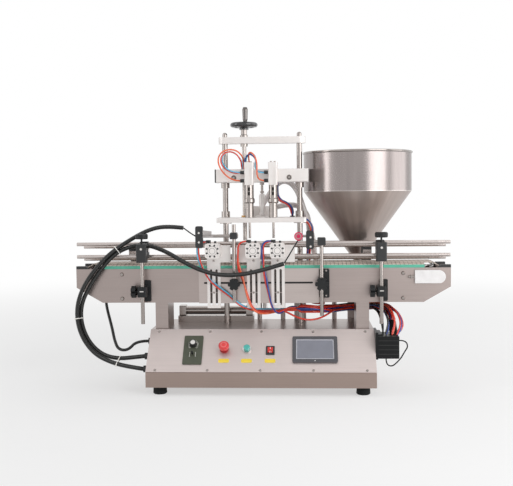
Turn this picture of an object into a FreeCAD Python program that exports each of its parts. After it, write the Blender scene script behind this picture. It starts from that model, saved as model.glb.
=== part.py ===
import FreeCAD, Part
import math
import os

# Bench filling machine: slat chain conveyor, two lifting filling heads, metering pump and hopper.
# Millimetres. X runs along the conveyor, Y to the back, Z up. The origin is on the floor, under
# the middle of the machine's length and depth.

V = FreeCAD.Vector
SIDES = (-1, 1)

# Fits
seat_gap = 0.3
running_gap = 0.08

# Hopper
hopper_radius = 180.0
hopper_wall = 2.0
rim_bead = 4.0
hopper_x = 315.0
hopper_cylinder_height = 128.0
hopper_seam_z = 618.0
outlet_radius = 14.0
ferrule_radius = 25.0
ferrule_height = 10.0
cone_half_angle = 35.8

# Overall
overall_depth = 520.0
front_y = -overall_depth / 2
hopper_y = overall_depth / 2 - hopper_radius - rim_bead

# Base cabinet
base_length = 700.0
base_depth = 320.0
foot_height = 26.0
foot_radius = 21.5
foot_inset = 38.0
skirt_height = 45.0
panel_rise = 116.0
panel_run = 104.0
sheet = 2.0
panel_margin = 18.0
fold_z = foot_height + skirt_height
deck_z = fold_z + panel_rise
base_rear_y = front_y + base_depth
panel_slope = math.hypot(panel_run, panel_rise)
panel_angle = math.degrees(math.atan2(panel_rise, panel_run))

# Controls, as places along the panel and up its slope
stop_x = -113.0
start_x = -43.0
rocker_x = 29.0
switch_s = 82.0
rocker_s = 78.0
stop_head_radius = 16.0
stop_travel = 4.0
start_radius = 10.0
start_travel = 3.0
rocker_width = 21.0
rocker_height = 24.0
screen_x = 166.0
screen_s = 80.0
screen_width = 138.0
screen_height = 92.0
screen_opening_margin = 12.0
screen_body_depth = 30.0
controller_x = -210.0
controller_s = 79.0
controller_width = 59.0
controller_height = 101.0
controller_opening_margins = (10.0, 24.0)
speed_knob_offset = 17.0
speed_knob_radius = 11.0
lever_offset = -17.0

# Conveyor
conveyor_length = 1174.0
conveyor_width = 118.0
belt_y = front_y + 167.0
leg_height = 85.0
leg_width = 40.0
leg_depth = 110.0
leg_x = 316.0
side_height = 107.0
side_wall = 3.0
side_lip = 12.0
end_chamfer_x = 83.0
end_chamfer_z = 48.0
side_bottom_z = deck_z + leg_height
side_top_z = side_bottom_z + side_height
spacer_low_z = side_bottom_z + 13.0
spacer_high_z = side_top_z - 17.0
side_front_y = belt_y - conveyor_width / 2
side_rear_y = belt_y + conveyor_width / 2
spacer_radius = 8.0
spacer_x = 441.0

# Slat chain
chain_pitch = 38.1
slat_width = 82.6
slat_thickness = 3.5
slat_joint = 0.9
knuckle_radius = 3.5
knuckle_width = 38.0
chain_rise = 17.0
end_room = 53.0
sprocket_teeth = 6
sprocket_radius = chain_pitch / (2 * math.sin(math.pi / sprocket_teeth))
top_links = int((conveyor_length - 2 * end_room) / chain_pitch)
axle_x = top_links * chain_pitch / 2
chain_top_z = side_top_z + chain_rise
pin_z = chain_top_z - slat_thickness - knuckle_radius
axle_z = pin_z - sprocket_radius
shaft_radius = 8.0
bearing_radius = 20.0
bearing_depth = 12.0

# Wear strips
strip_height = 12.0
strip_end_margin = 81.0
strip_half_length = conveyor_length / 2 - strip_end_margin

# Gear motor and take-up
motor_size = 70.0
gearhead_depth = 30.0
motor_depth = 75.0
motor_drop = 13.0
cover_height = 41.0
cover_length = 94.0
cover_depth = 8.0
cover_x = 523.0

# Slotted plate and stoppers
slotted_plate_wall = 3.0
slotted_left = -196.0
slotted_right = 180.0
slot_height = 6.0
slot_z = 334.0
bracket_wall = 3.0
bracket_width = 42.0
bracket_bottom_z = 255.0
bracket_slot = 7.0
bracket_slot_pitch = 17.0
bracket_slot_length = 113.0
stopper_xs = (-148.0, -23.0, 53.0)
stopper_z = 437.0
stopper_size = 46.0
stopper_depth = 38.0
stopper_corner = 9.0
stopper_rod_radius = 4.0
stopper_travel = 24.0
stopper_chamber = 14.0
stopper_wall = 5.0
stopper_reach = 14.0
wing_sides = (1, -1, 1)
wing_width = 32.0

# Guide rails
rail_radius = 6.0
rail_half_length = 588.0
rail_low_z = 417.0
rail_pitch = 40.0
rail_gap = 78.0
guard_post_radius = 6.0
guard_post_offset = 30.0
front_guard_insets = (217.0, 216.0)
rear_guard_insets = (162.0, 249.0)
front_guard_xs = (front_guard_insets[0] - conveyor_length / 2, conveyor_length / 2 - front_guard_insets[1])
rear_guard_xs = (rear_guard_insets[0] - conveyor_length / 2, conveyor_length / 2 - rear_guard_insets[1])
guard_post_bottom_z = 209.0
rear_post_bottom_z = 284.0
head_width = 32.0
head_depth = 28.0
head_bottom_z = 402.0
head_top_z = 460.0
cross_rod_radius = 5.0
cross_rod_z = 437.0
rear_drop = 13.0
rear_shift = 4.0
guard_drop = 8.0
guard_reach = 15.0
clamp_width = 28.0
clamp_depth = 17.0
side_clamp_z = 310.0
knob_radius = 18.0
head_knob_radius = 20.0
head_knob_z = 475.0
head_knob_height = 16.0

# Sensor posts
sensor_post_y = side_front_y - 24.0
sensor_post_radius = 6.0
left_sensor_post_x = -82.0
left_sensor_post_z = (276.0, 518.0)
right_sensor_post_x = 188.5
right_sensor_post_z = (233.0, 470.0)
star_knob_z = 333.0
sensor_rod_radius = 5.0
left_sensor_rod_z = 483.0
right_sensor_rod_z = 464.0
left_bracket_x = -188.0
right_bracket_x = 153.0

# Lift tower
column_radius = 9.0
column_x = 121.5
column_y = side_rear_y + 15.0
top_bar_z = 776.0
top_bar_height = 21.0
top_bar_depth = 40.0
top_bar_half_length = 142.0
column_neck = 6.0
dome_radius = 8.0
spindle_x = -58.5
spindle_radius = 7.0
spindle_bottom_z = 461.0
collar_radius = 13.0
collar_height = 24.0
wheel_radius = 45.0
rim_radius = 8.0
hub_radius = 15.0
wheel_z = top_bar_z + top_bar_height + collar_height
handle_radius = 9.0
handle_height = 46.0
handle_pin_radius = 4.0

# Lift plate
lift_plate_z = 521.0
lift_plate_wall = 15.0
lift_plate_half_length = 143.0
lift_plate_front = 19.0
lift_plate_rear = 21.0
bush_radius = 14.0
bush_height = 20.0
flange_radius = 20.0
flange_height = 5.0
nut_radius = 11.5
nut_height = 6.0
union_half_width = 45.0
union_depth = 22.0
union_height = 36.0
port_radius = 7.0
hose_port_radius = 9.0
port_length = 8.0
hose_z = 560.0
tube_clip_size = 16.0
tube_clip_x = 97.0
clip_y = column_y + lift_plate_rear + tube_clip_size / 2

# Filling beam and heads
beam_z = 649.0
beam_height = 42.5
beam_half_length = 146.0
beam_wall = 5.0
beam_rear = 19.0
end_cap = 4.0
beam_bush_drop = 17.0
grommet_x = 45.0
grommet_z = beam_z + 19
grommet_radius = 8.0
grommet_depth = 3.0
head_pitch = 76.0
cylinder_size = 30.0
cylinder_bottom_z = 640.0
cylinder_top_z = 694.0
cylinder_cap_height = 18.0
clevis_radius = 14.0
clevis_bottom_z = 599.0
window_width = 7.0
stem_radius = 4.0
stem_in_cylinder = 20.0
stem_travel = 8.0
union_nut_radius = 17.0
union_nut_height = 17.0
valve_radius = 13.0
valve_clearance = 1.0
nozzle_radius = 4.0
nozzle_bore = 2.8
nozzle_bottom_z = 471.0
dive_radius = 10.0
dive_body_top_z = 612.0
dive_rod_radius = 4.0
dive_y = column_y - 26.0

# Metering pump
pump_bar_height = 20.0
drive_radius = 14.0
drive_cap_size = 34.0
drive_left_x = -284.0
drive_right_x = -38.0
pump_bracket_xs = (120.0, 300.0)
pump_bracket_width = 40.0
pump_bracket_wall = 12.0
drive_y = column_y + 39.0
yoke_wall = 10.0
yoke_x = -4.0
pump_travel = 40.0
stand_y = 48.0
stand_radius = 8.0
stand_xs = (-17.0, 62.0, 235.0, 330.0)
platform_z = 262.0
platform_wall = 6.0
meter_radius = 22.0
meter_bore = 18.0
meter_pitch = 48.0
meter_z = 306.0
meter_left_x = 90.0
block_x = (262.0, 352.0)
block_y = (26.0, 126.0)
block_top_z = 362.0
hose_port_z = 348.0

# Valve block on the right wall
valve_block_x = 358.0
valve_block_width = 64.0
valve_block_y = (-212.0, -128.0)
valve_block_z = (106.0, 175.0)

# Cords
conduit_diameter = 14.0
motor_conduit_diameter = 10.0
cable_diameter = 4.0
air_pair_diameter = 6.0
head_tube_diameter = 6.0
bundle_diameter = 10.0
drop_diameter = 11.0
main_bundle_diameter = 22.0
hose_diameter = 18.0


def box(x0, x1, y0, y1, z0, z1):
    return Part.makeBox(x1 - x0, y1 - y0, z1 - z0, V(x0, y0, z0))


def rod(x, y, z, radius, length, axis="z"):
    direction = {"x": V(1, 0, 0), "y": V(0, 1, 0), "z": V(0, 0, 1)}[axis]
    return Part.makeCylinder(radius, length, V(x, y, z), direction)


def ring(x, y, z, radius, bore, length, axis="z"):
    return rod(x, y, z, radius, length, axis).cut(rod(x, y, z, bore, length, axis))


def rounded(solid, radius, axis):
    """Round the four edges of a box that run along one axis."""
    direction = {"x": V(1, 0, 0), "y": V(0, 1, 0), "z": V(0, 0, 1)}[axis]
    edges = []
    for edge in solid.Edges:
        span = edge.Vertexes[1].Point - edge.Vertexes[0].Point
        if abs(abs(span.normalize().dot(direction)) - 1) < 1e-6:
            edges.append(edge)
    return solid.makeFillet(radius, edges)


def face_of(points):
    return Part.Face(Part.makePolygon(list(points) + [points[0]]))


def prism_x(outline, x0, x1):
    """An outline of (y, z) points carried along X."""
    return face_of([V(x0, y, z) for y, z in outline]).extrude(V(x1 - x0, 0, 0))


def prism_y(outline, y0, y1):
    """An outline of (x, z) points carried along Y."""
    return face_of([V(x, y0, z) for x, z in outline]).extrude(V(0, y1 - y0, 0))


def turned(outline, x, y):
    """An outline of (radius, z) points turned about the vertical through x, y."""
    return face_of([V(x + r, y, z) for r, z in outline]).revolve(V(x, y, 0), V(0, 0, 1), 360)


def fused(solids):
    return solids[0].multiFuse(solids[1:]).removeSplitter()


def star(lobes, outer, inner, height):
    """A lobed knob standing on its origin, its axis up."""
    points = []
    for i in range(lobes):
        for share, radius in ((-0.3, outer), (-0.12, outer), (0.12, outer), (0.3, outer), (0.5, inner)):
            swell = 1.0 if abs(share) > 0.2 else 1.04
            angle = 2 * math.pi * (i + share) / lobes
            points.append(V(radius * swell * math.cos(angle), radius * swell * math.sin(angle), 0))
    return face_of(points).extrude(V(0, 0, height))


def placed(shape, x, y, z, turn=None):
    copy = shape.copy()
    if turn:
        copy.rotate(V(0, 0, 0), turn[0], turn[1])
    copy.translate(V(x, y, z))
    return copy


def on_panel(shape, x, s):
    """Place a shape, drawn with its local z outwards and y up the slope, on the panel's face."""
    angle = math.radians(panel_angle)
    y = front_y + s * math.cos(angle) - sheet * math.sin(angle)
    z = fold_z + s * math.sin(angle) + sheet * math.cos(angle)
    return placed(shape, x, y, z, (V(1, 0, 0), panel_angle))


def route_wire(name, points, diameter):
    """Straight runs joined by tangent arcs, each as large as its two runs allow."""
    points = [V(*p) for p in points]
    edges = []
    start = points[0]
    radii = []
    for i in range(1, len(points) - 1):
        before = points[i] - points[i - 1]
        after = points[i + 1] - points[i]
        reach = 0.45 * min(before.Length, after.Length)
        into = V(before).normalize()
        out = V(after).normalize()
        turn = into.getAngle(out)
        radius = reach / math.tan(turn / 2)
        radii.append(radius)
        first = points[i] - into * reach
        last = points[i] + out * reach
        middle = V(out - into).normalize()
        sagitta = radius / math.cos(turn / 2) - radius
        edges.append(Part.LineSegment(start, first).toShape())
        edges.append(Part.Arc(first, points[i] + middle * sagitta, last).toShape())
        start = last
    edges.append(Part.LineSegment(start, points[-1]).toShape())
    wire = Part.Wire(edges)
    if radii:
        print(name, "least radius", round(min(radii), 1), "in diameters", round(min(radii) / diameter, 1))
    return wire


def cord(name, points, diameter):
    wire = route_wire(name, points, diameter)
    start = V(*points[0])
    heading = V(*points[1]) - start
    section = Part.Wire(Part.makeCircle(diameter / 2, start, heading))
    solid = wire.makePipeShell([section], True, False)
    share = solid.Volume / (math.pi * diameter ** 2 / 4 * wire.Length)
    print(name, "length", round(wire.Length, 1), "volume share", round(share, 4))
    return solid


def save(name, solids):
    shape = solids[0] if len(solids) == 1 else Part.makeCompound(solids)
    shape.exportStep("parts/" + name + ".step")


# Base


def cabinet_outline(inset):
    """The cabinet's side view, drawn in by a wall."""
    slant = inset / math.tan(math.radians(90 - panel_angle / 2))
    low = inset * math.tan(math.radians((90 - panel_angle) / 2))
    return [
        (front_y + inset, foot_height + inset),
        (base_rear_y - inset, foot_height + inset),
        (base_rear_y - inset, deck_z - inset),
        (front_y + panel_run + slant, deck_z - inset),
        (front_y + inset, fold_z - low),
    ]


def base_cabinet():
    half = base_length / 2
    outer = prism_x(cabinet_outline(0), -half, half)
    inner = prism_x(cabinet_outline(sheet), -half + sheet, half - sheet)
    window = Part.makeBox(base_length - 2 * panel_margin, panel_slope - 2 * panel_margin, 6 * sheet)
    window.translate(V(-half + panel_margin, panel_margin, -5 * sheet))
    window = on_panel(window, 0, 0)
    shell = outer.cut(inner).cut(window)
    return [shell]


def panel_hole(width, height):
    return box(-width / 2, width / 2, -height / 2, height / 2, -4 * sheet, 2 * sheet)


def control_panel():
    half = base_length / 2
    flush = sheet * math.tan(math.radians(panel_angle))
    blank = box(-half, half, flush, panel_slope, -sheet, 0)
    holes = [
        rod(stop_x, switch_s, -2 * sheet, start_radius, 4 * sheet),
        rod(start_x, switch_s, -2 * sheet, start_radius, 4 * sheet),
        placed(panel_hole(rocker_width, rocker_height), rocker_x, rocker_s, 0),
        placed(panel_hole(screen_width - screen_opening_margin, screen_height - screen_opening_margin),
               screen_x, screen_s, 0),
        placed(panel_hole(controller_width - controller_opening_margins[0],
                          controller_height - controller_opening_margins[1]), controller_x, controller_s, 0),
    ]
    return [on_panel(blank.cut(Part.makeCompound(holes)), 0, 0)]


def rubber_feet():
    feet = []
    for side in SIDES:
        for y in (front_y + foot_inset, base_rear_y - foot_inset):
            x = side * (base_length / 2 - foot_inset)
            outline = [
                (0, 0), (foot_radius - 3, 0), (foot_radius, 3),
                (foot_radius - 1.5, foot_height), (0, foot_height),
            ]
            feet.append(turned(outline, x, y))
    return feet


def screw_head(radius, height):
    return Part.makeCone(radius, radius * 0.7, height)


def panel_screws():
    screws = []
    for s in (9.0, panel_slope - 9.0):
        for i in range(5):
            x = (i - 2) * (base_length / 2 - 28) / 2
            screws.append(on_panel(screw_head(4.5, 2.4), x, s))
    toward = (V(1, 0, 0), 90)
    for side in SIDES:
        for z in (spacer_low_z, spacer_high_z):
            screws.append(placed(screw_head(6.5, 4.0), side * spacer_x, side_front_y, z, toward))
    for z in (side_bottom_z + 23, side_top_z - 6.5):
        screws.append(placed(screw_head(4.0, 3.0), right_sensor_post_x + 14, sensor_post_y + 8, z, toward))
    for x in stopper_xs:
        for z in (stopper_z - 33.0, slot_z - 30.0):
            screws.append(placed(screw_head(3.6, 3.0), x, side_front_y - slotted_plate_wall - bracket_wall, z, toward))
    return screws


def speed_controller():
    plate = rounded(box(-controller_width / 2, controller_width / 2, -controller_height / 2,
                        controller_height / 2, 0, 4), 3.0, "z")
    body = box(-controller_width / 2 + 6, controller_width / 2 - 6, -controller_height / 2 + 13,
               controller_height / 2 - 13, -70, 0)
    knob_seat = rod(0, speed_knob_offset, 4, 5.0, 3.0)
    lever_seat = ring(0, lever_offset, 4, 6.0, 3.4, 4.0)
    plate = fused([plate, body, knob_seat, lever_seat]).cut(rod(0, lever_offset, -2, 3.4, 12))
    return [on_panel(plate, controller_x, controller_s)]


def speed_knob():
    body = star(9, speed_knob_radius, speed_knob_radius - 1.2, 13.0)
    body = body.common(Part.makeCone(speed_knob_radius * 1.2, speed_knob_radius * 0.85, 13.0))
    body.translate(V(0, speed_knob_offset, 7 + seat_gap))
    return [on_panel(body, controller_x, controller_s)]


def run_lever():
    lever = Part.makeCone(1.8, 2.9, 16.0).fuse(Part.makeSphere(2.8))
    lever.translate(V(0, lever_offset, 5.0))
    return [on_panel(lever, controller_x, controller_s)]


def switch_frames():
    stop_collar = ring(0, 0, 0, 14.5, 9.0, 7.0).fuse(ring(0, 0, -30, 9.8, 9.0, 30))
    start_collar = ring(0, 0, 0, 14.0, start_radius + 0.3, 5.0).fuse(ring(0, 0, -30, 9.8, 9.0, 32))
    frame = rounded(box(-rocker_width / 2 - 3, rocker_width / 2 + 3, -rocker_height / 2 - 3,
                        rocker_height / 2 + 3, 0, 3), 2.0, "z")
    frame = frame.fuse(box(-rocker_width / 2, rocker_width / 2, -rocker_height / 2,
                           rocker_height / 2, -24, 0))
    well = box(-rocker_width / 2 + 2, rocker_width / 2 - 2, -rocker_height / 2 + 2,
               rocker_height / 2 - 2, -14, 4)
    return [
        on_panel(stop_collar, stop_x, switch_s),
        on_panel(start_collar, start_x, switch_s),
        on_panel(frame.cut(well), rocker_x, rocker_s),
    ]


def stop_button():
    low = 7 + seat_gap + stop_travel
    outline = [
        (0, low), (10.0, low), (stop_head_radius, low + 5), (stop_head_radius, low + 13),
        (stop_head_radius - 3, low + 17), (0, low + 18),
    ]
    head = turned(outline, 0, 0).fuse(rod(0, 0, -20, 8.5, low + 21))
    return [on_panel(head, stop_x, switch_s)]


def start_button():
    outline = [(0, 2.6), (start_radius, 2.6), (start_radius, 10.5), (start_radius - 2, 12), (0, 12)]
    cap = turned(outline, 0, 0).fuse(rod(0, 0, -20, 8.5, 24))
    cap.translate(V(0, 0, start_travel))
    return [on_panel(cap, start_x, switch_s)]


def power_rocker():
    half_w = rocker_width / 2 - 2 - seat_gap
    half_h = rocker_height / 2 - 3.2
    outline = [(-half_h, 1.0), (-half_h, 4.5), (0, 2.6), (half_h, 6.2), (half_h, 1.0), (0, -6.0)]
    paddle = prism_x(outline, -half_w, half_w)
    return [on_panel(paddle, rocker_x, rocker_s)]


def touch_screen():
    bezel = rounded(box(-screen_width / 2, screen_width / 2, -screen_height / 2,
                        screen_height / 2, 0, 6), 5.0, "z")
    recess = box(-screen_width / 2 + 12, screen_width / 2 - 12, -screen_height / 2 + 12,
                 screen_height / 2 - 12, 4.8, 7)
    rear = box(-screen_width / 2 + 7, screen_width / 2 - 7, -screen_height / 2 + 7,
               screen_height / 2 - 7, -screen_body_depth, 0)
    return [on_panel(bezel.fuse(rear).cut(recess), screen_x, screen_s)]


def cable_glands():
    glands = []
    for start in (conduit_a_points[0], conduit_b_points[0], conduit_c_points[-1]):
        length = -base_length / 2 - gland_reach
        glands.append(rod(gland_reach, start[1], start[2], conduit_diameter / 2 + 3.5, length, "x"))
    return glands


# Conveyor


def conveyor_legs():
    pieces = []
    for side in SIDES:
        x0 = side * leg_x - leg_width / 2
        y0 = belt_y - leg_depth / 2
        outer = box(x0, x0 + leg_width, y0, y0 + leg_depth, deck_z, side_bottom_z)
        inner = box(x0 + sheet, x0 + leg_width - sheet, y0 + sheet, y0 + leg_depth - sheet,
                    deck_z, side_bottom_z - sheet)
        pieces.append(outer.cut(inner))
    for side in SIDES:
        for z in (spacer_low_z, spacer_high_z):
            span = conveyor_width - 2 * side_wall
            pieces.append(rod(side * spacer_x, side_front_y + side_wall, z, spacer_radius, span, "y"))
    return pieces


def side_plate(y0, lip_y0):
    half = conveyor_length / 2
    outline = [
        (-half, side_bottom_z + end_chamfer_z), (-half + end_chamfer_x, side_bottom_z),
        (half - end_chamfer_x, side_bottom_z), (half, side_bottom_z + end_chamfer_z),
        (half, side_top_z), (-half, side_top_z),
    ]
    plate = prism_y(outline, y0, y0 + side_wall)
    reach = half - end_chamfer_x
    lip = box(-reach, reach, lip_y0, lip_y0 + side_lip, side_bottom_z, side_bottom_z + side_wall)
    plate = plate.fuse(lip)
    for side in SIDES:
        plate = plate.cut(rod(side * axle_x, y0 - 1, axle_z, shaft_radius + 1, side_wall + 2, "y"))
    return plate.removeSplitter()


def front_side_plate():
    return [side_plate(side_front_y, side_front_y + side_wall)]


def rear_side_plate():
    return [side_plate(side_rear_y - side_wall, side_rear_y - side_wall - side_lip)]


def slat():
    """One slat with its hinge knuckle, drawn between two pins with outwards as up."""
    half = chain_pitch / 2
    plate = box(-half + slat_joint / 2, half - slat_joint / 2, -slat_width / 2, slat_width / 2,
                knuckle_radius, knuckle_radius + slat_thickness)
    r = knuckle_radius
    outline = [
        (half - 2 * r, r), (half - r, 0), (half - r / 2, -0.86 * r), (half + r / 2, -0.86 * r),
        (half + r, 0), (half + 0.6 * r, 0.7 * r), (half - slat_joint / 2, r),
    ]
    knuckle = prism_y(outline, -knuckle_width / 2, knuckle_width / 2)
    return plate.fuse(knuckle).removeSplitter()


def slat_chain():
    link = slat()
    links = []
    for i in range(top_links):
        x = -axle_x + (i + 0.5) * chain_pitch
        links.append(placed(link, x, belt_y, pin_z))
        low_z = axle_z - sprocket_radius
        links.append(placed(link, x, belt_y, low_z, (V(0, 1, 0), 180)))
    apothem = sprocket_radius * math.cos(math.pi / sprocket_teeth)
    for side in SIDES:
        for i in range(sprocket_teeth // 2):
            angle = (i + 0.5) * 360 / sprocket_teeth
            turn = angle if side > 0 else 180 + angle
            radians = math.radians(turn)
            x = side * axle_x + apothem * math.sin(radians)
            z = axle_z + apothem * math.cos(radians)
            links.append(placed(link, x, belt_y, z, (V(0, 1, 0), turn)))
    return links


def wear_strips():
    """A green strip clipped over each side plate's top edge, reaching in under the slats."""
    strips = []
    under = pin_z + knuckle_radius - seat_gap
    for side in SIDES:
        outer = belt_y + side * conveyor_width / 2
        wall = outer - side * side_wall
        lip = belt_y + side * (slat_width / 2 - 9)
        slat_edge = belt_y + side * (slat_width / 2 + 1)
        outline = [
            (outer + side * 1.5, side_top_z + 3.5), (outer + side * 1.5, side_top_z + strip_height),
            (slat_edge, side_top_z + strip_height), (slat_edge, under), (lip, under),
            (lip, side_top_z - 6), (wall - side * seat_gap, side_top_z - 6),
            (wall - side * seat_gap, side_top_z + seat_gap), (outer + side * 1.5, side_top_z + seat_gap),
        ]
        strips.append(prism_x(outline, -strip_half_length, strip_half_length))
    return strips


def end_bearings():
    pieces = []
    bore = shaft_radius + running_gap
    for side in SIDES:
        y0 = side_front_y + side_wall
        y1 = side_rear_y - side_wall - bearing_depth
        for y in (y0, y1):
            pieces.append(ring(side * axle_x, y, axle_z, bearing_radius, bore, bearing_depth, "y"))
    half = conveyor_length / 2
    for side in SIDES:
        for y0 in (side_front_y, side_rear_y - 14.0):
            x_in = side * (half - 30)
            outline = [(side * half, side_top_z), (side * half, side_top_z + 9), (x_in, side_top_z + 9),
                       (x_in - side * 10, side_top_z)]
            pieces.append(prism_y(outline, y0, y0 + 14))
    return pieces


def shaft(side, y_end):
    """A shaft with one sprocket on the belt's centre line, its teeth just inside the knuckles."""
    y0 = side_front_y + side_wall + seat_gap
    bar = rod(side * axle_x, y0, axle_z, shaft_radius, y_end - y0, "y")
    tip = sprocket_radius - knuckle_radius - 1.2
    root = tip - 6.0
    outline = []
    for i in range(sprocket_teeth):
        for share, radius in ((-0.36, root), (-0.2, tip), (0.2, tip), (0.36, root)):
            angle = 2 * math.pi * (i + share) / sprocket_teeth
            outline.append((side * axle_x + radius * math.cos(angle), axle_z + radius * math.sin(angle)))
    wheel = prism_y(outline, belt_y - 10, belt_y + 10)
    hub = rod(side * axle_x, belt_y - 22, axle_z, shaft_radius + 7, 44, "y")
    return fused([bar, wheel, hub])


def drive_shaft():
    return [shaft(-1, side_rear_y + gearhead_depth - 2)]


def idler_shaft():
    return [shaft(1, side_rear_y - side_wall - seat_gap)]


def takeup_cover():
    radius = cover_height / 2
    x0 = cover_x - cover_length / 2
    x1 = cover_x + cover_length / 2
    y0 = side_front_y - cover_depth
    cover = box(x0, x1 - radius, y0, side_front_y, axle_z - radius, axle_z + radius)
    cover = cover.fuse(rod(x1 - radius, y0, axle_z, radius, cover_depth, "y")).removeSplitter()
    bolt_y = side_front_y - cover_depth / 2
    bolt = fused([rod(x0 - 20, bolt_y, axle_z, 2.5, 20, "x"), rod(x0 - 20, bolt_y, axle_z, 4.0, 4, "x")])
    lug = box(x0 - 13, x0 - 8, side_front_y - cover_depth, side_front_y, axle_z - 6, axle_z + 6)
    lug = lug.cut(rod(x0 - 14, bolt_y, axle_z, 2.5, 8, "x"))
    return [cover, bolt, lug]


def gear_motor():
    half = motor_size / 2
    z = axle_z - motor_drop
    x = -axle_x
    head = rounded(box(x - half, x + half, side_rear_y, side_rear_y + gearhead_depth, z - half, z + half),
                   6.0, "y")
    head = head.cut(rod(x, side_rear_y - 1, axle_z, shaft_radius + running_gap, gearhead_depth, "y"))
    body_y = side_rear_y + gearhead_depth
    body = rod(x, body_y, z, half - 2, motor_depth, "y")
    for i in range(5):
        body = body.cut(ring(x, body_y + 12 + i * 10, z, half, half - 4.5, 4, "y"))
    gland = rod(conduit_c_points[0][0], conduit_c_points[0][1], conduit_c_points[0][2],
                motor_conduit_diameter / 2 + 2, z - 20 - conduit_c_points[0][2])
    return [head, body.fuse(gland)]


def slotted_plate():
    y1 = side_front_y
    y0 = y1 - slotted_plate_wall
    plate = box(slotted_left, slotted_right, y0, y1, side_bottom_z - 2, side_top_z)
    slot = box(slotted_left + 16 + slot_height / 2, slotted_right - 18 - slot_height / 2, y0 - 1, y1 + 1,
               slot_z - slot_height / 2, slot_z + slot_height / 2)
    for x in (slotted_left + 16 + slot_height / 2, slotted_right - 18 - slot_height / 2):
        slot = slot.fuse(rod(x, y0 - 1, slot_z, slot_height / 2, slotted_plate_wall + 2, "y"))
    groove = box(slotted_left - 1, slotted_right + 1, y0 - 1, y0 + 0.8, side_bottom_z + 31, side_bottom_z + 32.5)
    return [plate.cut(slot).cut(groove)]


# Stoppers


def stopper_brackets():
    y1 = side_front_y - slotted_plate_wall
    y0 = y1 - bracket_wall
    top_z = stopper_z + stopper_size / 2 - 3
    pieces = []
    for x, side_of in zip(stopper_xs, wing_sides):
        plate = box(x - bracket_width / 2, x + bracket_width / 2, y0, y1, bracket_bottom_z, top_z)
        low = bracket_bottom_z + 9 + bracket_slot / 2
        for side in SIDES:
            sx = x + side * bracket_slot_pitch / 2
            high = low + bracket_slot_length - bracket_slot
            cut = box(sx - bracket_slot / 2, sx + bracket_slot / 2, y0 - 1, y1 + 1, low, high)
            cut = cut.fuse(rod(sx, y0 - 1, low, bracket_slot / 2, bracket_wall + 2, "y"))
            cut = cut.fuse(rod(sx, y0 - 1, high, bracket_slot / 2, bracket_wall + 2, "y"))
            plate = plate.cut(cut)
        plate = plate.cut(rod(x, y0 - 1, stopper_z, stopper_rod_radius + 2, bracket_wall + 2, "y"))
        edge = x + side_of * bracket_width / 2
        far = edge + side_of * wing_width
        wing = box(min(edge, far), max(edge, far), y0, y1, stopper_z - 38, stopper_z + 16)
        pieces.append(plate.fuse(wing).removeSplitter())
    return pieces


def stopper_cylinders():
    y1 = side_front_y - slotted_plate_wall - bracket_wall
    y0 = y1 - stopper_depth
    half = stopper_size / 2
    pieces = []
    for x in stopper_xs:
        body = rounded(box(x - half, x + half, y0, y1, stopper_z - half, stopper_z + half), stopper_corner, "y")
        body = body.fuse(rod(x, y0 - 1.5, stopper_z, half * 0.62, 2, "y"))
        body = body.cut(rod(x, y0 + 8, stopper_z, stopper_rod_radius + running_gap, stopper_depth, "y"))
        body = body.cut(rod(x, y0 + stopper_wall, stopper_z, stopper_chamber,
                            stopper_depth - 2 * stopper_wall + 1, "y"))
        for sx in SIDES:
            for sz in SIDES:
                body = body.cut(rod(x + sx * (half - 7), y0 - 1, stopper_z + sz * (half - 7), 2.8, 4, "y"))
        pieces.append(body)
        top = stopper_z + half
        fx = x - 10
        elbow = fused([rod(fx, y0 + 16, top, 4.5, 10), rod(fx - 10, y0 + 16, top + 6, 4.2, 10, "x")])
        pieces.append(elbow)
        pieces.append(rod(x + 8, y0 + 16, top, 3.5, 7))
    return pieces


def stopper_rod(index):
    x = stopper_xs[index]
    y1 = side_front_y - slotted_plate_wall - bracket_wall
    y0 = y1 - stopper_depth
    start = y0 + stopper_wall + seat_gap
    piston = rod(x, start, stopper_z, stopper_chamber - seat_gap, 4.0, "y")
    bar = rod(x, start, stopper_z, stopper_rod_radius, y1 + stopper_reach - start, "y")
    return [piston.fuse(bar).removeSplitter()]


# Guide rails


def guard_posts(front):
    """Two posts with their clamp heads, outside one side plate."""
    sign = -1 if front else 1
    edge = side_front_y if front else side_rear_y
    drop = 0 if front else rear_drop
    low = guard_post_bottom_z if front else rear_post_bottom_z
    y = edge + sign * guard_post_offset
    xs = front_guard_xs if front else rear_guard_xs
    bottom = head_bottom_z - drop
    top = head_top_z - drop
    bore_y = y - head_depth / 2 + 2 if front else y - head_depth / 2 - 1
    pieces = []
    for x in xs:
        pieces.append(rod(x, y, low, guard_post_radius, bottom - low + 10))
        head = rounded(box(x - head_width / 2, x + head_width / 2, y - head_depth / 2, y + head_depth / 2,
                           bottom, top), 4.0, "z")
        head = head.cut(rod(x, y, bottom, guard_post_radius, 10))
        head = head.cut(rod(x, bore_y, cross_rod_z - drop, cross_rod_radius + running_gap, head_depth - 1, "y"))
        if front:
            head = head.cut(rod(x, y, top - 12, 3 + running_gap, 14))
        else:
            head = head.fuse(rod(x, y, top, knob_radius - 4, 9))
        pieces.append(head)
    return pieces


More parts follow.
